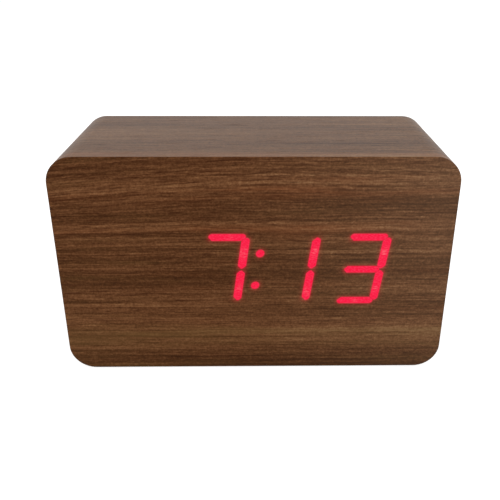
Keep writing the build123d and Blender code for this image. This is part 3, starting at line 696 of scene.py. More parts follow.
        colour = recipe.add("ShaderNodeValToRGB", {"stops": FILM_BROWNS}, {0: tone})
        colour = recipe.mix((warmth * self.warmth_gain).step(0.0, 1.0), colour, FILM_RED)
        colour = recipe.mix((-warmth * self.warmth_gain).step(0.0, 1.2), colour, FILM_OLIVE)
        colour = recipe.mix(pores * self.pore_depth, colour, PORE_BROWN)
        colour = self.tinted_with_painted_light(recipe, colour, across, right)
        glow = {"Emission_Color": self.glow(recipe), "Emission_Strength": 1.0} if self.lit else {}
        return recipe.finish(
            relief=-pores * self.pore_sink + tone * self.grain_rise,
            Base_Color=recipe.scaled(colour, self.painted_shade),
            Roughness=self.roughness + pores * 0.12 - tone * 0.05,
            Specular_IOR_Level=self.gloss,
            **glow,
        )


@dataclass(frozen=True)
class LampSpot:
    """Where a lamp shows as a paler spot behind the film, in millimetres, and how strongly."""

    x: float
    z: float
    strength: float


@dataclass(frozen=True)
class LitFilm(Finish):
    """The film over a lit stroke: a hot pink-red glow, with pale grain where a lamp is close behind."""

    lit: tuple[LitStretch, ...]
    spots: tuple[LampSpot, ...]
    spot_width: float = 1.3
    spot_height: float = 1.9
    fibres: Streaks = Streaks(2.4, 0.36, layers=2.0)
    fibre_edge: Fade = Fade(-0.02, 0.16)
    mottle: Streaks = Streaks(0.9, 0.5, 2.4, 2.0)
    edge_softness: float = 0.2
    hot: tuple[Colour, Colour] = (rgb(248, 12, 60), rgb(255, 50, 88))
    pale: Colour = rgb(255, 118, 128)
    leak: Colour = (0.2, 0.0, 0.012, 1.0)
    backing: Colour = rgb(36, 8, 10)

    def material(self) -> bpy.types.Material:
        """Builds the lit film.

        Returns:
            The material.
        """
        recipe = Recipe.of(self.name)
        x, _, z = recipe.place
        glow = 0.0
        for spot in self.spots:
            level = z - spot.z
            side = x - spot.x - level * DIGIT_SLANT
            bell = side.bump(0.0, self.spot_width) * level.bump(0.0, self.spot_height)
            glow = glow + bell * spot.strength
        fibres = self.fibre_edge.at(self.fibres.noise(recipe, x, z, 5.0))
        mottle = self.mottle.noise(recipe, x, z, 9.0)
        hot = recipe.mix((0.4 + mottle).step(0.0, 1.0), *self.hot)
        light = recipe.mix((glow * fibres * 1.5).at_most(1.0), hot, self.pale)
        within = past_stretches(recipe, self.lit).step(self.edge_softness, -self.edge_softness)
        return recipe.finish(
            relief=fibres * 0.01,
            Base_Color=recipe.mix(within, FILM_BROWN, self.backing),
            Roughness=0.55,
            Specular_IOR_Level=0.04,
            Emission_Color=recipe.mix(within, self.leak, light),
            Emission_Strength=0.97,
        )


@dataclass(frozen=True)
class MouldedPlastic(Finish):
    """Moulded plastic with the fine sparked texture of its mould."""

    colour: Colour
    roughness: float = 0.5
    texture_size: float = 0.28
    texture_height: float = 0.012
    flow_size: float = 9.0
    wear_size: float = 2.5

    def material(self) -> bpy.types.Material:
        """Builds the plastic.

        Returns:
            The material.
        """
        recipe = Recipe.of(self.name)
        spark = recipe.speckle(self.texture_size, 2.0, 0.6)
        flow = recipe.speckle(self.flow_size)
        wear = recipe.speckle(self.wear_size, 3.0, 0.6).step(0.05, 0.3)
        return recipe.finish(
            relief=spark * self.texture_height,
            Base_Color=recipe.scaled(self.colour, 1 + flow * 0.35 + spark * 0.5 + wear * 0.25),
            Roughness=self.roughness + flow * 0.12 - wear * 0.08 + spark * 0.1,
        )


@dataclass(frozen=True)
class WorkedMetal(Finish):
    """Plated or bare metal, with fine drawn lines and a little uneven tarnish."""

    colour: Colour
    roughness: float = 0.3
    line_pitch: float = 0.12
    tarnish: float = 0.3
    line_length: float = 3.0
    patch_size: float = 1.6

    def material(self) -> bpy.types.Material:
        """Builds the metal.

        Returns:
            The material.
        """
        recipe = Recipe.of(self.name)
        x, y, z = recipe.place
        length = self.line_length
        lines = recipe.noise(x / length, y / length, z / self.line_pitch, 2.0, 0.7)
        patches = recipe.speckle(self.patch_size, 3.0, 0.6)
        colour = recipe.scaled(self.colour, 1 + lines * 0.18 - patches.step(0.0, 0.35) * self.tarnish)
        return recipe.finish(
            relief=lines * 0.004,
            Base_Color=colour,
            Metallic=1.0,
            Roughness=self.roughness + patches * 0.25 + lines * 0.1,
        )


@dataclass(frozen=True)
class Fibreboard(Finish):
    """Pressed wood fibre: tan, with short pale and dark fibres lying every way."""

    dark: Colour = rgb(128, 94, 62)
    pale: Colour = rgb(190, 154, 112)
    patch_size: float = 7.0

    def material(self) -> bpy.types.Material:
        """Builds the board.

        Returns:
            The material.
        """
        recipe = Recipe.of(self.name)
        x, y, z = recipe.place
        level = recipe.noise(x / 1.4, y / 0.35, z / 0.5, 3.0, 0.65)
        upright = recipe.noise(x / 0.4, y / 0.4, z / 1.3, 3.0, 0.65)
        patches = recipe.speckle(self.patch_size)
        tone = (0.5 + level * 1.3 + upright * 1.1 + patches * 0.5).at_least(0.0)
        return recipe.finish(
            relief=(level + upright) * 0.05,
            Base_Color=recipe.mix(tone.at_most(1.0), self.dark, self.pale),
            Roughness=0.85 + patches * 0.1,
            Specular_IOR_Level=0.3,
        )


@dataclass(frozen=True)
class FootRubber(Finish):
    """Black foam rubber of the feet, with fine pits and a little dust."""

    black: Colour = rgb(30, 29, 28)
    dusty: Colour = rgb(66, 62, 58)
    pit_size: float = 0.3
    dust_size: float = 1.8

    def material(self) -> bpy.types.Material:
        """Builds the rubber.

        Returns:
            The material.
        """
        recipe = Recipe.of(self.name)
        pits = recipe.cells(*(place / self.pit_size for place in recipe.place)).step(0.35, 0.1)
        dust = recipe.speckle(self.dust_size, 3.0, 0.6).step(0.0, 0.35)
        colour = recipe.mix(dust * 0.5, self.black, self.dusty)
        # The pits are also painted darker, as painted shade in them.
        return recipe.finish(
            relief=-pits * 0.03,
            Base_Color=recipe.scaled(colour, 1 - pits * 0.4),
            Roughness=0.82 + dust * 0.12,
            Specular_IOR_Level=0.3,
        )


@dataclass(frozen=True)
class CircuitBoard(Finish):
    """Green lacquered laminate with copper tracks under the lacquer and plated holes."""

    pitch: float = 1.27
    level_length: float = 14.0
    level_laid: Fade = Fade(0.0, 0.04)
    upright_length: float = 10.0
    upright_laid: Fade = Fade(0.06, 0.1)
    track_edge: Fade = Fade(0.22, 0.16)
    pad_edge: Fade = Fade(0.2, 0.16)
    weave_size: float = 0.25
    lacquer: Colour = rgb(16, 74, 44)
    over_copper: Colour = rgb(40, 118, 66)
    tin: Colour = rgb(196, 196, 190)

    def tracks(self, along: Value, across: Value, shift: float, laid: Fade) -> Value:
        """Tracks side by side, one pitch apart, that break off and start again.

        Args:
            along: place along the tracks, in their own lengths.
            across: place across them, in pitches.
            shift: how unlike each track is to the one beside it.
            laid: at which noise a track is there.

        Returns:
            1 on a track and 0 beside it.
        """
        noise = along.recipe.noise(along, 0.0, across.math("FLOOR") * shift, 0.0)
        return self.track_edge.at(abs(across.math("FRACT") - 0.5)) * laid.at(noise)

    def material(self) -> bpy.types.Material:
        """Builds the board.

        Returns:
            The material.
        """
        recipe = Recipe.of(self.name)
        x, y, z = recipe.place
        level = self.tracks(x / self.level_length, z / self.pitch, 3.7, self.level_laid)
        upright = self.tracks(z / self.upright_length, x / self.pitch, 2.9, self.upright_laid)
        track = level.at_least(upright)
        pads = self.pad_edge.at(recipe.cells(x / (2 * self.pitch), z / (2 * self.pitch), 4.0))
        weave = recipe.noise(x / self.weave_size, z / self.weave_size, y / self.weave_size, 1.0)
        colour = recipe.mix(pads, recipe.mix(track * 0.75, self.lacquer, self.over_copper), self.tin)
        return recipe.finish(
            relief=track * 0.03 + pads * 0.04 + weave * 0.006,
            Base_Color=recipe.scaled(colour, 1 + weave * 0.3),
            Roughness=0.3 + weave * 0.1 + pads * 0.05,
            Metallic=pads * 0.9,
        )


@dataclass(frozen=True)
class ResistorRow(Finish):
    """Small resistors in a row: dark bodies with bright tinned ends above and below."""

    middle_z: float = 30.25
    end_from_middle: float = 0.68
    edge_half: float = 0.02
    grain_size: float = 0.2
    body: Colour = rgb(30, 30, 34)
    end: Colour = rgb(200, 200, 196)

    def material(self) -> bpy.types.Material:
        """Builds the resistors' finish.

        Returns:
            The material.
        """
        recipe = Recipe.of(self.name)
        _, _, z = recipe.place
        start, end = self.end_from_middle - self.edge_half, self.end_from_middle + self.edge_half
        ends = abs(z - self.middle_z).step(start, end)
        grain = recipe.speckle(self.grain_size, 2.0, 0.6)
        return recipe.finish(
            relief=grain * 0.01,
            Base_Color=recipe.scaled(recipe.mix(ends, self.body, self.end), 1 + grain * 0.3),
            Roughness=0.5 + grain * 0.2 - ends * 0.15,
            Metallic=ends,
        )


@dataclass(frozen=True)
class LightPlastic(Finish):
    """Milky plastic of the light wells, the film and the plugs, a little cloudy."""

    colour: Colour
    roughness: float = 0.45
    cloud_size: float = 4.0
    grain_size: float = 0.3

    def material(self) -> bpy.types.Material:
        """Builds the plastic.

        Returns:
            The material.
        """
        recipe = Recipe.of(self.name)
        cloud = recipe.speckle(self.cloud_size, 3.0)
        grain = recipe.speckle(self.grain_size)
        return recipe.finish(
            relief=grain * 0.008,
            Base_Color=recipe.scaled(self.colour, 1 + cloud * 0.08 + grain * 0.04),
            Roughness=self.roughness + cloud * 0.15,
        )


@dataclass(frozen=True)
class RibbonJacket(Finish):
    """Grey flat cable of round cores side by side along X, with a red core at its left edge."""

    left: float = -3.0
    core_pitch: float = 1.0
    ridge_height: float = 0.25
    haze_size: float = 3.0
    grey: Colour = rgb(158, 160, 162)
    red: Colour = rgb(178, 30, 28)

    def material(self) -> bpy.types.Material:
        """Builds the jacket.

        Returns:
            The material.
        """
        recipe = Recipe.of(self.name)
        x, _, _ = recipe.place
        core = (x - self.left) / self.core_pitch
        across = core.math("FRACT") - 0.5
        ridge = (1 - across * across * 4.0).at_least(0.0) ** 0.5
        mottle_and_painted_sheen = recipe.speckle(self.haze_size)
        colour = recipe.mix(core.below(1.0), self.grey, self.red)
        # The colour is painted darker in the grooves between the cores and lighter over their tops, as
        # painted shade and highlight.
        return recipe.finish(
            relief=ridge * self.ridge_height,
            Base_Color=recipe.scaled(colour, 0.72 + ridge * 0.32 + mottle_and_painted_sheen * 0.12),
            Roughness=0.5 + mottle_and_painted_sheen * 0.2,
        )


@dataclass(frozen=True)
class Zone:
    """A round stretch of a part's face: all within a radius, in millimetres, has its own look."""

    radius: float
    colour: Colour
    metal: float
    roughness: float


@dataclass(frozen=True)
class RoundPart(Finish):
    """A round part that faces along Y, with zones round its axis and fine lines turned about it."""

    x: float
    z: float
    zones: tuple[Zone, ...]
    edge_half: float = 0.06
    line_pitch: float = 0.09
    patch_size: float = 1.8

    def material(self) -> bpy.types.Material:
        """Builds the finish, from the widest zone inwards.

        Returns:
            The material.
        """
        recipe = Recipe.of(self.name)
        x, y, z = recipe.place
        radius = span(x - self.x, z - self.z)
        widest, *inner = self.zones
        colour, metal, roughness = widest.colour, widest.metal, widest.roughness
        for zone in inner:
            inside = radius.step(zone.radius + self.edge_half, zone.radius - self.edge_half)
            colour = recipe.mix(inside, colour, zone.colour)
            metal = metal + inside * (zone.metal - metal)
            roughness = roughness + inside * (zone.roughness - roughness)
        turned = recipe.noise(radius / self.line_pitch, y / 0.6, 0.0, 1.0)
        patches = recipe.speckle(self.patch_size, 3.0, 0.6)
        return recipe.finish(
            relief=turned * 0.004,
            Base_Color=recipe.scaled(colour, 1 + turned * 0.14 + patches * 0.3),
            Metallic=metal,
            Roughness=roughness + patches * 0.22 + turned * 0.05,
        )


@dataclass(frozen=True)
class SwitchBody(Finish):
    """A tactile switch: black base below and a bright folded lid with four rivets above."""

    x: float
    z: float
    lid_from: float
    rivet_from_middle: float = 2.15
    rivet_edge: Fade = Fade(0.45, 0.38)
    base: Colour = rgb(34, 33, 33)
    lid: Colour = rgb(196, 195, 190)

    def material(self) -> bpy.types.Material:
        """Builds the finish.

        Returns:
            The material.
        """
        recipe = Recipe.of(self.name)
        x, y, z = recipe.place
        above = y.above(self.lid_from)
        side = abs(abs(x - self.x) - self.rivet_from_middle)
        level = abs(abs(z - self.z) - self.rivet_from_middle)
        rivet = self.rivet_edge.at(span(side, level)) * above
        grain = recipe.noise(x / 0.15, y / 0.15, z / 1.2, 2.0, 0.6)
        bright = above * (1 - rivet)
        return recipe.finish(
            relief=grain * 0.004 + rivet * 0.08,
            Base_Color=recipe.scaled(recipe.mix(bright, self.base, self.lid), 1 + grain * 0.25),
            Metallic=bright,
            Roughness=0.5 - bright * 0.18 + grain * 0.15,
        )


@dataclass(frozen=True)
class LampResin(Finish):
    """Lamps seen from the front: white bodies with a pool of clear resin over a glowing chip."""

    face: float = -21.9
    cloud_size: float = 0.5
    body: Colour = rgb(232, 230, 224)
    resin: Colour = rgb(246, 176, 160)
    light: Colour = rgb(255, 40, 60)

    def material(self) -> bpy.types.Material:
        """Builds the finish.

        Returns:
            The material.
        """
        recipe = Recipe.of(self.name)
        _, y, _ = recipe.place
        front = y.below(self.face)
        cloud = recipe.speckle(self.cloud_size)
        colour = recipe.mix(front * (0.6 + cloud), self.body, self.resin)
        return recipe.finish(
            relief=cloud * 0.01,
            Base_Color=recipe.scaled(colour, 1 + cloud * 0.1),
            Roughness=0.35 - front * 0.2 + cloud * 0.1,
            Emission_Color=recipe.mix(front, rgb(0, 0, 0), self.light),
            Emission_Strength=0.5,
        )


@dataclass(frozen=True)
class CellWrap(Finish):
    """A battery cell's printed sleeve between its bare steel ends, read along the cell's own length.

    The attribute named station gives the distance from the tip of the positive end, in millimetres.
    """

    sleeve_start: float = 1.15
    sleeve_end: float = 44.25
    band_end: float = 11.0
    line_gap: float = 1.4
    line_width: float = 0.5
    dark: Colour = rgb(64, 70, 78)
    pale: Colour = rgb(178, 182, 186)
    steel: Colour = rgb(188, 186, 180)

    def material(self) -> bpy.types.Material:
        """Builds the sleeve.

        Returns:
            The material.
        """
        recipe = Recipe.of(self.name)
        x, y, z = recipe.place
        station = recipe.add("ShaderNodeAttribute", {"attribute_name": "station"}, output="Fac")
        sleeve = station.step(self.sleeve_start - 0.1, self.sleeve_start)
        sleeve = sleeve * station.step(self.sleeve_end, self.sleeve_end - 0.1)
        band = station.step(self.band_end + 0.05, self.band_end - 0.05)
        line = abs(station - self.band_end - self.line_gap).step(self.line_width, self.line_width - 0.1)
        brush = recipe.noise(x / 4.0, y / 0.12, z / 0.12, 1.0)
        scuffs = recipe.noise(x / 2.0, y / 0.7, z / 0.7, 3.0, 0.6)
        print_colour = recipe.mix(band.at_least(line), self.dark, self.pale)
        colour = recipe.mix(sleeve, self.steel, print_colour)
        return recipe.finish(
            relief=brush * 0.003 + sleeve * 0.05,
            Base_Color=recipe.scaled(colour, 1 + brush * 0.12 + scuffs.step(0.08, 0.3) * 0.12),
            Metallic=0.9 - sleeve * 0.45,
            Roughness=0.26 + scuffs * 0.2 + sleeve * 0.06,
        )


@dataclass(frozen=True)
class FloorPaint(Finish):
    """Plain white floor that reads white behind the clock and keeps a faint shadow under it."""

    glow: float = 0.8
    white: float = 0.42
    bounce: float = 0.55

    def material(self) -> bpy.types.Material:
        """Builds the floor.

        Returns:
            The material.
        """
        recipe = Recipe.of(self.name)
        lit, hidden = (
            recipe.add("ShaderNodeBsdfDiffuse", inputs={"Color": (level, level, level, 1.0)})
            for level in (self.white, self.bounce)
        )
        glow = recipe.add("ShaderNodeEmission", inputs={"Color": WHITE, "Strength": self.glow})
        shown = recipe.add("ShaderNodeAddShader", inputs={0: lit, 1: glow})
        shares = {0: recipe.seen(), 1: hidden, 2: shown}
        return recipe.show(recipe.add("ShaderNodeMixShader", inputs=shares))


# Meshes


class Facing(Enum):
    """Where a new piece's own X, Y and Z point on the clock, as rows. Each is named after its Z."""

    BACK = ((1.0, 0.0, 0.0), (0.0, 0.0, -1.0), (0.0, 1.0, 0.0))
    DOWN = ((1.0, 0.0, 0.0), (0.0, -1.0, 0.0), (0.0, 0.0, -1.0))
    RIGHT = ((0.0, 1.0, 0.0), (0.0, 0.0, 1.0), (1.0, 0.0, 0.0))
    LEFT = ((0.0, -1.0, 0.0), (0.0, 0.0, 1.0), (-1.0, 0.0, 0.0))


@dataclass
class Skin:
    """Vertices in millimetres, the faces between them and a number for each vertex, its station."""

    vertices: np.ndarray
    faces: np.ndarray
    triangles: np.ndarray
    stations: np.ndarray

    def placed(self, facing: Facing, place: Point) -> "Skin":
        """This skin turned that way and moved, so that its origin is at a place in millimetres."""
        vertices = self.vertices @ np.array(facing.value) + np.array(place)
        return Skin(vertices, self.faces, self.triangles, self.stations)


def joined(skins: list[Skin]) -> Skin:
    """Puts several skins together.

    Args:
        skins: the skins.

    Returns:
        One skin of all their faces.
    """
    starts = np.cumsum([0] + [len(skin.vertices) for skin in skins[:-1]])
    return Skin(
        np.vstack([skin.vertices for skin in skins]),
        np.vstack([skin.faces + start for skin, start in zip(skins, starts)]),
        np.vstack([skin.triangles + start for skin, start in zip(skins, starts)]),
        np.concatenate([skin.stations for skin in skins]),
    )


def turned_skin(radius: np.ndarray, level: np.ndarray, stations: np.ndarray) -> Skin:
    """Turns a profile about Z into a closed skin with a point at either end.

    The skin is a surface of two parameters, the row along the profile and the turn about Z:
    x = radius * cos(turn), y = radius * sin(turn), z = level. The first and last rows have shrunk to a
    point. Seen from the first row's end the rings run anticlockwise, so the faces point outwards.

    Args:
        radius, level: the profile by rows, and by turns where it differs round the axis.
        stations: a number for each row.

    Returns:
        The skin.
    """
    radius, level, turn = np.broadcast_arrays(radius, level, TURNS)
    rings = np.stack([radius * np.cos(turn), radius * np.sin(turn), level], axis=-1)
    rows, turns, _ = rings.shape
    vertices = np.vstack([rings[0, :1], rings[1:-1].reshape(-1, 3), rings[-1, :1]])
    index = 1 + np.arange((rows - 2) * turns).reshape(rows - 2, turns)
    after = np.roll(index, -1, axis=1)
    quads = np.stack([index[:-1], index[1:], after[1:], after[:-1]], axis=-1).reshape(-1, 4)
    last = np.full(turns, len(vertices) - 1)
    caps = [[np.zeros(turns, int), index[0], after[0]], [last, after[-1], index[-1]]]
    triangles = np.vstack([np.stack(cap, axis=-1) for cap in caps])
    numbers = np.concatenate([stations[:1], np.repeat(stations[1:-1], turns), stations[-1:]])
    return Skin(vertices, quads, triangles, numbers)


def add_object(name: str, data: bpy.types.ID) -> bpy.types.Object:
    """Adds an object to the scene.

    Args:
        name: its name.
        data: its mesh, lamp or camera.

    Returns:
        The object.
    """
    added = bpy.data.objects.new(name, data)
    bpy.context.scene.collection.objects.link(added)
    return added


def make_piece(name: str, skin: Skin, body: str, finish: Finish, stands_for: str = "") -> None:
    """Makes a new piece of the clock from a skin.

    Args:
        name: the piece's name.
        skin: its shape, in millimetres.
        body: the body that it rides on.
        finish: its finish.
        stands_for: the node that it replaces, if it replaces one.
    """
    mesh = bpy.data.meshes.new(name)
    mesh.from_pydata((skin.vertices * MM).tolist(), [], skin.faces.tolist() + skin.triangles.tolist())
    station = mesh.attributes.new("station", "FLOAT", "POINT")
    station.data.foreach_set("value", skin.stations.astype(np.float32))
    mesh.polygons.foreach_set("use_smooth", [True] * len(mesh.polygons))
    mesh.set_sharp_from_angle(angle=math.radians(SHARP_ANGLE))
    mesh.materials.append(material_of(finish))
    piece = add_object(name, mesh)
    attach(piece, body)
    if stands_for:
        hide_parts(stands_for)
    LOG.info("made %s on %s in %s: %d faces", name, body, finish.name, len(mesh.polygons))


@dataclass
class CrossScrew:
    """A flat-headed screw with a cross recess and a turned thread, its head's face at z = 0."""

    length: float
    shank_radius: float = 1.1
    shank_rings: int = 26
    head_radius: float = 2.2
    head_rings: int = 27
    recess_depth: float = 1.15
    recess_slope: float = 0.35
    arm_half: float = 0.3
    arm_reach: float = 1.3
    wall_lean: float = 0.14
    thread_pitch: float = 0.8
    thread_depth: float = 0.24
    finish: Finish = WorkedMetal("black_zinc", rgb(70, 70, 72), 0.34, 0.2, 0.5)

    def skin(self, turned: float) -> Skin:
        """Works out the screw's surface.

        The head's face is z = -depth * a * b * c, where a falls from 1 to 0 as the nearer of |x| and |y|
        passes the arm's half width and b as the farther passes the arm's reach, and c is 1 less the
        slope times the farther over the reach. Below the head the radius is the shank's less the thread's
        depth times a share that rises and falls with the sine of the depth in pitches less the turn.

        Args:
            turned: how far its recess is turned, in degrees.

        Returns:
            The skin.
        """
        cone = self.head_radius - self.shank_radius
        head = np.linspace(0.0, self.head_radius, self.head_rings)
        shank = np.linspace(cone, self.length - self.shank_radius / 2, self.shank_rings)
        radius = np.concatenate([head, np.full(self.shank_rings, self.shank_radius), [0.0]])[:, None]
        depth = np.concatenate([np.zeros(self.head_rings), shank, [self.length]])[:, None]
        on_head = (np.arange(len(radius)) < self.head_rings - 1)[:, None]
        on_shank = (depth > cone) & (depth < self.length)
        twist = np.sin(2 * np.pi * depth / self.thread_pitch - TURNS) * 0.5 + 0.5
        radius = radius - on_shank * self.thread_depth * twist
        x, y = radius * np.cos(TURNS), radius * np.sin(TURNS)
        cosine, sine = np.cos(np.radians(turned)), np.sin(np.radians(turned))
        u, v = np.abs(x * cosine + y * sine), np.abs(y * cosine - x * sine)
        near = np.clip((self.arm_half - np.minimum(u, v)) / self.wall_lean + 0.5, 0.0, 1.0)
        far = np.clip((self.arm_reach - np.maximum(u, v)) / self.wall_lean + 0.5, 0.0, 1.0)
        slope = 1.0 - self.recess_slope * np.maximum(u, v) / self.arm_reach
        z = -depth - on_head * self.recess_depth * near * far * slope
        return turned_skin(radius, z, depth[:, 0])

    def add_set(
        self, name: str, node: str, facing: Facing, middle: Point, reach: Point, turns: tuple[float, ...]
    ) -> None:
        """Builds four screws at the corners of a rectangle as one piece, each turned as it was driven.

        Args:
            name: the piece's name.
            node: the node that it replaces.
            facing: where the screws' heads face.
            middle: the rectangle's middle, in millimetres.
            reach: how far its corners are from there along X, Y and Z.
            turns: how far each screw's recess is turned, in degrees.
        """
        corners = [(i, j) for i in (-1, 1) for j in (-1, 1)]
        skins = [
            self.skin(turned).placed(facing, np.array(middle) + np.array([i, j, j]) * reach)
            for turned, (i, j) in zip(turns, corners)
        ]
        make_piece(name, joined(skins), "case", self.finish, node)


@dataclass
class SleevedCell:
    """A battery cell whose positive tip is at z = 0 and whose body runs down from it."""

    length: float = 44.5
    radius: float = 5.25
    nub_radius: float = 1.9
    nub_height: float = 0.8

    def skin(self) -> Skin:
        """Works out the cell's surface, its profile turned about Z.

        The profile goes from the middle of the tip over the nub, across the dished steel cap, over the
        rolled edge of the sleeve, down its side and over the other rolled edge to the bare steel base.

        Returns:
            The skin, with the distance from the tip for each vertex.
        """
        nub, top, edge, low = self.nub_radius, self.nub_height, self.radius, self.length
        tip = [(0.0, 0.0), (0.0, nub - 0.3), (0.1, nub - 0.1), (0.3, nub), (top - 0.1, nub)]
        cap = [(top + 0.15, nub + 0.15), (top + 0.3, nub + 0.9), (top + 0.3, edge - 1.15)]
        first_roll = [(0.12, 1.0), (0.02, 0.75), (0.03, 0.5), (0.18, 0.2), (0.5, 0.03), (0.9, 0.0)]
        last_roll = [(0.8, 0.0), (0.42, 0.05), (0.16, 0.22), (0.06, 0.5), (0.1, 0.8)]
        base = [(0.24, 1.0), (0.24, 1.3), (0.02, 1.55), (0.0, 1.9), (0.0, edge)]
        profile = tip + cap + [(top + drop, edge - inset) for drop, inset in first_roll]
        profile += [(low - rise, edge - inset) for rise, inset in last_roll + base]
        depth, radius = np.array(profile).T[..., None]
        return turned_skin(radius, -depth, depth[:, 0])


class Mark(Enum):
    """The marks on the buttons' caps, by the directions of their sides in degrees. A dot has none."""

    SET = ()
    DOWN = (270.0, 30.0, 150.0)
    UP = (90.0, 210.0, 330.0)


@dataclass
class CapMark:
    """A small raised mark on a button's cap: a triangle that points up or down, or a round dot."""

    size: float = 1.25
    side_share: float = 0.72
    height: float = 0.22
    sunk: float = 0.1
    softness: float = 9.0
    ring_shares: tuple[float, ...] = (0.0, 0.4, 0.76, 0.88, 0.96, 1.0, 1.0, 0.5, 0.0)
    ring_rises: tuple[float, ...] = (1.0, 1.0, 1.0, 0.92, 0.68, 0.3)

    def skin(self, mark: Mark) -> Skin:
        """Works out the mark's surface.

        Its edge is at r = share * size / (sum of max(0, cos(turn - side)) ** p) ** (1 / p), a polygon
        with these side directions and with corners rounded by p, or at r = size where it has no sides.
        The rings are shares of that edge, level on top and rounded over at the rim.

        Args:
            mark: which mark it is.

        Returns:
            The skin.
        """
        edge = np.full(len(TURNS), self.size)
        if mark.value:
            facing = np.cos(TURNS[:, None] - np.radians(np.array(mark.value))[None, :])
            powers = np.maximum(facing, 0.0) ** self.softness
            edge = self.side_share * self.size / powers.sum(axis=1) ** (1 / self.softness)
        shares = np.array(self.ring_shares)[:, None]
        rises = self.height * np.array(self.ring_rises)
        level = np.concatenate([rises, [-self.sunk] * (len(shares) - len(rises))])[:, None]
        return turned_skin(shares * edge, level, level[:, 0])


# Camera, lamps and floor


@dataclass(frozen=True)
class Lamp:
    """A soft square lamp: its place and the length of its sides in metres, and its power in watts."""

    name: str
    place: Point
    size: float
    power: float


@dataclass
class Studio:
    """The plain white studio: camera, soft lamps, white surroundings and floor."""

    camera_place: Point = (0.001006, -0.243518, 0.158729)
    camera_yaw: float = 1.0418
    camera_pitch: float = 23.8585
    camera_roll: float = 0.3017
    focal_length: float = 45.22
    film_width: float = 36.0
    shift: tuple[float, float] = (-0.036, -0.048)
    near_clip: float = 0.01
    lamps: tuple[Lamp, ...] = (
        Lamp("key_lamp", (0.55, -0.95, 1.05), 0.9, 11.0),
        Lamp("fill_lamp", (-0.75, -0.9, 0.7), 1.0, 5.0),
        Lamp("back_lamp", (-0.35, 1.1, 0.95), 1.0, 11.0),
    )
    aim_height: float = 0.045
    floor_half: float = 6.0
    ambient: float = 0.55

    def build(self) -> None:
        """Sets up the camera, lamps, surroundings and floor."""
        self.add_camera()
        for lamp in self.lamps:
            self.add_lamp(lamp)
        self.add_surroundings()
        self.add_floor()

    def add_camera(self) -> None:
        """Places the camera: turned by yaw about Z, tipped down by pitch, then rolled about its own view."""
        yaw, pitch, roll = (math.radians(a) for a in (self.camera_yaw, self.camera_pitch, self.camera_roll))
        ahead = np.array(
            [math.sin(yaw) * math.cos(pitch), math.cos(yaw) * math.cos(pitch), -math.sin(pitch)]
        )
        level = np.array([math.cos(yaw), -math.sin(yaw), 0.0])
        upright = np.cross(level, ahead)
        right = math.cos(roll) * level + math.sin(roll) * upright
        above = math.cos(roll) * upright - math.sin(roll) * level
        turn = np.eye(4)
        turn[:3, 0], turn[:3, 1], turn[:3, 2], turn[:3, 3] = right, above, -ahead, self.camera_place
        camera = add_object("camera", bpy.data.cameras.new("camera"))
        camera.matrix_world = Matrix(turn)
        camera.data.sensor_width = self.film_width
        camera.data.lens = self.focal_length
        camera.data.shift_x, camera.data.shift_y = self.shift
        camera.data.clip_start = self.near_clip
        bpy.context.scene.camera = camera

    def add_lamp(self, lamp: Lamp) -> None:
        """Adds a lamp that faces the clock.

        Args:
            lamp: the lamp.
        """
        light = bpy.data.lights.new(lamp.name, "AREA")
        light.size = lamp.size
        light.energy = lamp.power
        added = add_object(lamp.name, light)
        added.location = lamp.place
        x, y, z = np.array([0.0, 0.0, self.aim_height]) - lamp.place
        added.rotation_euler = (math.atan2(math.hypot(x, y), -z), 0.0, math.atan2(-x, y))
        added.visible_glossy = False

    def add_surroundings(self) -> None:
        """Makes the surroundings white to the eye and in reflections, and a soft grey as a light."""
        recipe = Recipe(bpy.data.worlds.new("studio"))
        strength = self.ambient + recipe.seen() * (1.0 - self.ambient)
        inputs = {"Color": WHITE, "Strength": strength}
        bpy.context.scene.world = recipe.show(recipe.add("ShaderNodeBackground", inputs=inputs))

    def add_floor(self) -> None:
        """Lays a flat white floor under the clock."""
        half = self.floor_half
        mesh = bpy.data.meshes.new("floor")
        corners = [(-half, -half, 0.0), (half, -half, 0.0), (half, half, 0.0), (-half, half, 0.0)]
        mesh.from_pydata(corners, [], [(0, 1, 2, 3)])
        mesh.materials.append(material_of(FloorPaint("floor_paint")))
        add_object("floor", mesh)


# The clock's sub-assemblies


def dress(finish: Finish, *nodes: str) -> None:
    """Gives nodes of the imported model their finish.

    Args:
        finish: the finish.
        nodes: the nodes' names.
    """
    for node in nodes:
        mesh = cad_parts[node].data
        mesh.materials.clear()
        mesh.materials.append(material_of(finish))
        LOG.info("dressed %s in %s", node, finish.name)


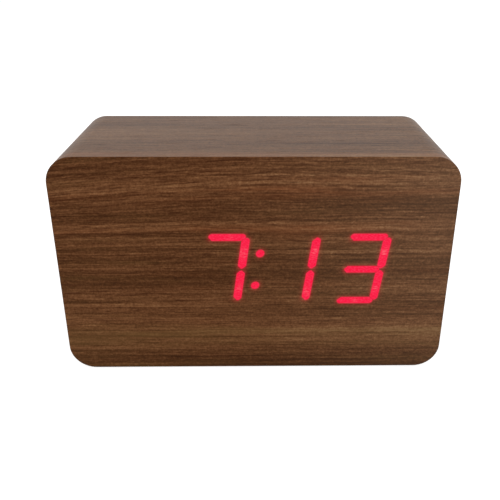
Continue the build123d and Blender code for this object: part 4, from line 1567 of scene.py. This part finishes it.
@dataclass
class VeneeredCase:
    """The block: three sheets of walnut film, the boards under them and the feet."""

    front_bands: tuple[Band, ...] = (
        # The first band makes the front darker along its bottom edge.
        Band(2.0, 7.0, -0.245, -0.12),
        Band(17.0, 5.5, 0.16, -0.35),
        Band(22.0, 3.0, -0.02, 0.12),
        Band(23.2, 0.7, 0.12),
        Band(27.6, 1.8, 0.07),
        Band(31.8, 1.3, -0.07),
        Band(35.0, 2.4, 0.12),
        Band(43.0, 6.0, -0.14),
        Band(51.2, 2.0, -0.1),
        Band(59.2, 0.7, 0.11),
        Band(60.8, 1.2, -0.21),
        Band(63.2, 2.2, 0.14, 0.25),
        Band(71.0, 3.4, -0.1),
        Band(75.4, 1.6, -0.06),
        Band(78.0, 3.4, 0.02, 0.2),
        Band(82.0, 2.6, 0.14),
        Band(86.0, 1.8, 0.07),
        Band(91.0, 1.8, -0.14),
    )
    top_bands: tuple[Band, ...] = (
        Band(-28.0, 4.0, 0.17, 0.3),
        Band(-13.0, 3.5, -0.12),
        Band(0.5, 3.5, 0.07),
        Band(12.0, 4.0, -0.07),
    )

    def build(self, lit: tuple[LitStretch, ...]) -> None:
        """Dresses the case.

        Args:
            lit: the lit strokes and dots, whose light leaks into the front's film.
        """
        front = WalnutFilm(
            "walnut_front_film", Side.FRONT, 2.0, self.front_bands, gloss=0.04, roughness=0.5, lit=lit
        )
        wrap = WalnutFilm(
            "walnut_wrap_film",
            Side.WRAP,
            41.0,
            self.top_bands,
            contrast=0.95,
            pore_depth=0.35,
            gloss=0.205,
            roughness=0.45,
            # Painted shade: the wrap is painted darker.
            painted_shade=0.83,
        )
        dress(front, "front_veneer")
        dress(wrap, "wrap_veneer")
        dress(WalnutFilm("walnut_back_film", Side.BACK, 77.0, gloss=0.2), "back_veneer")
        dress(Fibreboard("pressed_fibre"), "case_core", "back_board")
        dress(FootRubber("foam_rubber"), "feet")


@dataclass
class DigitDisplay:
    """The display: lit film, light wells, lamps and their board."""

    middle_x: float = 1.0
    middle_z: float = 46.0
    digit_pitch: float = 26.7
    digit_width: float = 14.26
    digit_rise: float = 27.24
    dot_height: float = 6.87
    dot_radius: float = 1.6
    level_half: float = 1.42
    upright_gap: float = 1.73
    level_gap: float = 1.5

    def point(self, digit: int, side: float, height: float) -> tuple[float, float]:
        """Where a point of a digit lies on the front.

        Args:
            digit: the digit's number from the left, from 0.
            side, height: how far right and how high in the digit, from -1 to 1.

        Returns:
            Its x and z, in millimetres.
        """
        rise = height * self.digit_rise / 2
        x = (digit - 1.5) * self.digit_pitch + side * self.digit_width / 2 + rise * DIGIT_SLANT
        return self.middle_x + x, self.middle_z + rise

    def stretch(self, digit: int, side: float, height: float) -> LitStretch:
        """A lit stroke of a digit, level where its side is 0 and upright where it isn't.

        Args:
            digit: the digit's number from the left, from 0.
            side, height: how far right and how high in the digit its middle is, from -1 to 1.

        Returns:
            The stroke's lit stretch, whose centre line ends short of the stroke's tips.
        """
        middle = self.point(digit, side, height)
        if side:
            return LitStretch(*middle, half_z=self.digit_rise / 4 - self.upright_gap)
        return LitStretch(*middle, half_x=self.digit_width / 2 - self.level_gap, half_width=self.level_half)

    def digit_stretches(self, digit: int, levels: tuple[float, ...]) -> tuple[LitStretch, ...]:
        """The two right strokes of a digit and its level strokes at those heights."""
        upright = [self.stretch(digit, 1, height) for height in (0.5, -0.5)]
        return (*upright, *(self.stretch(digit, 0, height) for height in levels))

    def dot(self, height: float) -> LitStretch:
        """The colon's dot at that height from the display's middle, in millimetres."""
        x, z = self.middle_x + height * DIGIT_SLANT, self.middle_z + height
        return LitStretch(x, z, half_width=self.dot_radius)

    def lit_stretches(self) -> dict[str, tuple[LitStretch, ...]]:
        """Says which stretches are lit.

        Returns:
            The lit stretches of each lit node, by its name.
        """
        return {
            "lit_hour": self.digit_stretches(1, (1,)),
            "lit_minute_tens": self.digit_stretches(2, ()),
            "lit_minute_units": self.digit_stretches(3, (1, 0, -1)),
            "lit_colon": (self.dot(self.dot_height), self.dot(-self.dot_height)),
        }

    def build(self) -> None:
        """Dresses the display. A lamp's spot has its digit, side, height and strength."""
        spots = {
            "lit_hour": ((1, 1, 0.53, 0.72), (1, 1, -0.6, 0.3), (1, 0.1, 1, 0.25)),
            "lit_minute_tens": ((2, 1, 0.52, 0.75), (2, 1, -0.7, 0.7)),
            "lit_minute_units": ((3, 1, 0.52, 0.62), (3, 1, -0.6, 0.5), (3, 0.0, -1, 0.3)),
            "lit_colon": (),
        }
        for node, stretches in self.lit_stretches().items():
            lamps = tuple(LampSpot(*self.point(*place), strength) for *place, strength in spots[node])
            dress(LitFilm(f"{node}_film", stretches, lamps), node)
        dress(LightPlastic("diffuser_sheet", rgb(236, 236, 232)), "display_diffuser")
        dress(LightPlastic("well_plastic", rgb(240, 240, 238)), "display_light_wells")
        dress(CircuitBoard("display_board_lacquer"), "display_board")
        dress(LampResin("lamp_resin"), "display_lamps")
        dress(ResistorRow("resistor_print"), "display_resistors")


@dataclass
class ControlPanel:
    """The moulded tray in the back, with its screws, buttons and their switches, and the inlet."""

    middle_z: float = 50.0
    screw_middle: Point = (0.0, 29.8, 50.0)
    screw_reach: Point = (51.8, 0.0, 10.0)
    screw_length: float = 4.6
    screw_turns: tuple[float, ...] = (24.0, 71.0, 8.0, 52.0)
    cap_y: float = 27.4
    first_button: float = 34.0
    button_pitch: float = 15.0
    switch_lid: float = 16.6
    inlet_x: float = -33.5

    def build(self) -> None:
        """Dresses the tray, buttons and inlet, and builds the screws and the marks on the buttons."""
        dress(MouldedPlastic("panel_plastic", rgb(40, 40, 41), 0.52), "control_panel")
        cap = MouldedPlastic("button_plastic", rgb(46, 46, 48), 0.36, 0.5, 0.004)
        stem = MouldedPlastic("plunger_plastic", rgb(58, 57, 56), 0.45, 0.4, 0.004)
        print_plastic = MouldedPlastic("mark_plastic", rgb(92, 92, 94), 0.3, 0.5, 0.004)
        for index, mark in enumerate(Mark):
            name = mark.name.lower()
            x = self.first_button - index * self.button_pitch
            dress(cap, f"{name}_button")
            dress(stem, f"{name}_plunger")
            dress(SwitchBody(f"{name}_switch_finish", x, self.middle_z, self.switch_lid), f"{name}_switch")
            skin = CapMark().skin(mark).placed(Facing.BACK, (x, self.cap_y, self.middle_z))
            make_piece(f"{name}_mark", skin, f"{name}_button", print_plastic)
        CrossScrew(self.screw_length).add_set(
            "panel_screw_set",
            "control_panel_screws",
            Facing.BACK,
            self.screw_middle,
            self.screw_reach,
            self.screw_turns,
        )
        # The inner zone, the socket's opening round the pin, is painted darker as painted shade in the
        # opening.
        zones = (Zone(10.0, rgb(32, 32, 33), 0.0, 0.42), Zone(2.75, rgb(20, 20, 20), 0.0, 0.6))
        dress(RoundPart("inlet_plastic", self.inlet_x, self.middle_z, zones), "inlet_socket")
        dress(WorkedMetal("pin_plating", rgb(222, 214, 190), 0.18, 0.1, 0.15), "inlet_pin")


@dataclass
class ControlElectronics:
    """What stands on the control board: sounder, microphone, chip, crystal and backup cell."""

    middle_z: float = 50.0
    buzzer_x: float = -10.0
    microphone_x: float = -21.0
    backup_cell_x: float = -22.0

    def build(self) -> None:
        """Dresses the board's parts."""
        dress(CircuitBoard("control_board_lacquer"), "control_board")
        screw = WorkedMetal("screw_steel", rgb(196, 196, 192), 0.28, 0.15, 0.25)
        dress(screw, "control_board_screws", "display_screws")
        chip = MouldedPlastic("chip_epoxy", rgb(36, 36, 38), 0.62, 0.16, 0.01)
        dress(chip, "processor_chip", "display_driver")
        self.dress_round("buzzer", self.buzzer_x, self.sounder_zones())
        self.dress_round("microphone", self.microphone_x, self.microphone_zones())
        self.dress_round("backup_cell", self.backup_cell_x, self.backup_cell_zones())
        dress(WorkedMetal("crystal_can", rgb(214, 214, 212), 0.16, 0.1, 0.12), "quartz_crystal")
        dress(WorkedMetal("clip_steel", rgb(208, 204, 188), 0.3, 0.3, 0.3), "backup_cell_clip")

    def dress_round(self, node: str, x: float, zones: tuple[Zone, ...]) -> None:
        """Dresses a round part that stands on the board's middle line at x."""
        dress(RoundPart(f"{node}_finish", x, self.middle_z, zones), node)

    def sounder_zones(self) -> tuple[Zone, ...]:
        """Black can, a lighter ring round its sound port, and the port painted near black, as painted shade
        in its hole.
        """
        can, ring, port = rgb(34, 34, 35), rgb(52, 52, 54), rgb(14, 14, 14)
        return Zone(5.0, can, 0.0, 0.5), Zone(1.9, ring, 0.0, 0.35), Zone(0.9, port, 0.0, 0.8)

    def microphone_zones(self) -> tuple[Zone, ...]:
        """Bright aluminium can with black felt over its opening."""
        return Zone(4.0, rgb(206, 206, 204), 1.0, 0.3), Zone(2.2, rgb(28, 27, 27), 0.0, 0.95)

    def backup_cell_zones(self) -> tuple[Zone, ...]:
        """Steel rim, a narrow dark seal and the steel face within it."""
        steel, seal = rgb(200, 200, 196), rgb(60, 60, 60)
        return Zone(7.0, steel, 1.0, 0.25), Zone(5.6, seal, 0.0, 0.6), Zone(5.3, steel, 1.0, 0.22)


@dataclass
class BatteryBay:
    """The bay under the clock, with its screws, contacts, four cells and hinged door."""

    screw_middle: Point = (0.0, -0.5, 1.2)
    screw_reach: Point = (32.35, 19.25, 0.0)
    screw_length: float = 5.0
    screw_turns: tuple[float, ...] = (63.0, 15.0, 38.0, 80.0)
    cell_count: int = 4
    cell_pitch: float = 11.0
    cell_y: float = -0.5
    cell_z: float = 8.45
    tip_x: float = 24.75

    def build(self) -> None:
        """Dresses the mouldings and contacts, and builds the screws and the cells."""
        dress(MouldedPlastic("bay_plastic", rgb(40, 40, 42), 0.55), "battery_bay")
        dress(MouldedPlastic("door_plastic", rgb(42, 42, 43), 0.5), "battery_door")
        plating = WorkedMetal("contact_plating", rgb(206, 204, 196), 0.24, 0.25, 0.3)
        dress(plating, "battery_positive_contacts", "battery_negative_contacts")
        CrossScrew(self.screw_length).add_set(
            "bay_screw_set",
            "battery_bay_screws",
            Facing.DOWN,
            self.screw_middle,
            self.screw_reach,
            self.screw_turns,
        )
        self.add_cells()

    def add_cells(self) -> None:
        """Builds the cells side by side, each turned the other way from the one before."""
        sleeve = CellWrap("cell_sleeve")
        skin = SleevedCell().skin()
        for index in range(self.cell_count):
            y = self.cell_y + (index - (self.cell_count - 1) / 2) * self.cell_pitch
            facing, x = (Facing.RIGHT, self.tip_x) if index % 2 else (Facing.LEFT, -self.tip_x)
            placed = skin.placed(facing, (x, y, self.cell_z))
            name, node = f"sleeved_cell_{index + 1}", f"battery_cell_{index + 1}"
            make_piece(name, placed, "case", sleeve, node)


@dataclass
class InsideLeads:
    """The ribbon cable with its plugs, and the battery leads."""

    red: Colour = rgb(158, 26, 24)
    black: Colour = rgb(36, 36, 37)

    def build(self) -> None:
        """Dresses the leads."""
        dress(LightPlastic("plug_nylon", rgb(226, 222, 208), 0.4), "display_plug", "control_plug")
        dress(RibbonJacket("ribbon_jacket"), "ribbon_cable")
        for name, colour in (("red", self.red), ("black", self.black)):
            jacket = MouldedPlastic(f"{name}_jacket", colour, 0.35, 0.6, 0.004)
            dress(jacket, f"battery_lead_{name}")


def main() -> None:
    """Builds the studio and the clock's sub-assemblies in order."""
    logging.basicConfig(level=logging.INFO)
    bpy.context.scene.view_settings.view_transform = "Standard"
    Studio().build()
    display = DigitDisplay()
    VeneeredCase().build(sum(display.lit_stretches().values(), ()))
    display.build()
    ControlPanel().build()
    ControlElectronics().build()
    BatteryBay().build()
    InsideLeads().build()


if __name__ == "__main__":
    main()
